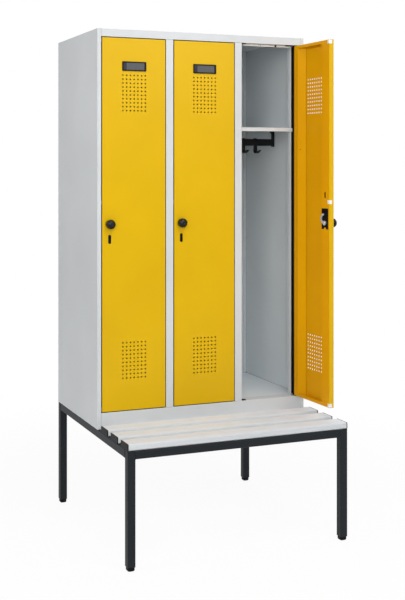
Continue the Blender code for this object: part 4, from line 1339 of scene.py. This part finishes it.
stageLook = {
    "whiteShare": 0.93, "fadeFrom": 0.7, "fadeTo": 2.4, "skyStrength": 0.15, "floorHalf": 14.0,
    "floor": (250, 250, 250),
}
cameraLook = {
    "place": (-1.741, -3.740, 1.423), "turn": -0.355, "focalPixels": 1016.73, "sensor": 36.0,
    "imageWide": 405, "imageHigh": 600, "vanishing": (112.706, 167.764),
}
lampAim = (0, 0, 1.1)
lampLook = {  # place, width, height, watts
    "left": ((-2.6, -4.3, 2.6), 2.6, 2.4, 99), "top": ((0.0, -2.7, 4.9), 2.6, 2.4, 100),
    "leftSide": ((-4.4, -0.5, 3.1), 2.6, 2.4, 55), "rightSide": ((4.6, -0.4, 2.2), 2.6, 2.4, 45),
    "sheen": ((1.8, -4.6, 3.0), 2.4, 1.5, 36), "rear": ((1.6, 4.6, 3.2), 2.6, 2.4, 60),
}


def clearedGraph(owner):
    owner.use_nodes = True
    owner.node_tree.nodes.clear()
    return Graph(owner.node_tree)


def backdropRays(graph):
    # 1 for the rays that see the pale background: straight, mirrored or through glass
    kinds = ("Is Camera Ray", "Is Glossy Ray", "Is Transmission Ray")
    camera, gloss, through = (graph.add("ShaderNodeLightPath", out=kind) for kind in kinds)
    return (camera + gloss + through).clamped()


def stageFloor():
    finish = bpy.data.materials.new("paleFloor")
    graph = clearedGraph(finish)
    place = graph.add("ShaderNodeTexCoord", out="Object")
    far = graph.add("ShaderNodeVectorMath", {0: place}, "Value", operation="LENGTH")
    fadeFrom, fadeTo, white = taken(stageLook, "fadeFrom fadeTo whiteShare")
    seen = backdropRays(graph) * graph.ranged(far, fadeFrom, fadeTo, white, 1.0)
    matt = graph.add("ShaderNodeBsdfDiffuse", {"Color": linear(stageLook["floor"])})
    bright = graph.add("ShaderNodeEmission", {"Color": (1, 1, 1, 1), "Strength": 1.0})
    mixed = graph.add("ShaderNodeMixShader", {0: seen, 1: matt, 2: bright})
    graph.add("ShaderNodeOutputMaterial", {"Surface": mixed})
    shape = bmesh.new()
    bmesh.ops.create_grid(shape, x_segments=8, y_segments=8, size=stageLook["floorHalf"])
    mesh = asMesh(shape, "floor", recalculated=False)
    mesh.materials.append(finish)
    linked("stage_floor", mesh)


def skyLight():
    world = bpy.data.worlds.new("studio")
    bpy.context.scene.world = world
    graph = clearedGraph(world)
    seen = backdropRays(graph)
    strength = stageLook["skyStrength"] + seen * (1.0 - stageLook["skyStrength"])
    sky = graph.add("ShaderNodeBackground", {"Color": (1, 1, 1, 1), "Strength": strength})
    graph.add("ShaderNodeOutputWorld", {"Surface": sky})


def softBox(name, place, wide, high, watts):
    lamp = bpy.data.lights.new(name, "AREA")
    lamp.shape = "RECTANGLE"
    lamp.size, lamp.size_y, lamp.energy = wide, high, watts
    holder = linked(name, lamp)
    holder.location = place
    holder.rotation_euler = (Vector(lampAim) - Vector(place)).to_track_quat("-Z", "Y").to_euler()


def photoCamera():
    lens = bpy.data.cameras.new("photo_camera")
    sensor, wide, high, (across, down) = taken(cameraLook, "sensor imageWide imageHigh vanishing")
    lens.sensor_width = sensor
    lens.lens = cameraLook["focalPixels"] / high * sensor
    lens.shift_x, lens.shift_y = (wide / 2 - across) / high, (down - high / 2) / high
    holder = linked("photo_camera", lens)
    holder.location = cameraLook["place"]
    holder.rotation_euler = (math.radians(90), 0, cameraLook["turn"])
    bpy.context.scene.camera = holder


stageFloor()
skyLight()
for name, (place, wide, high, watts) in lampLook.items():
    softBox(name, place, wide, high, watts)
photoCamera()
bpy.context.scene.view_settings.view_transform = "Standard"
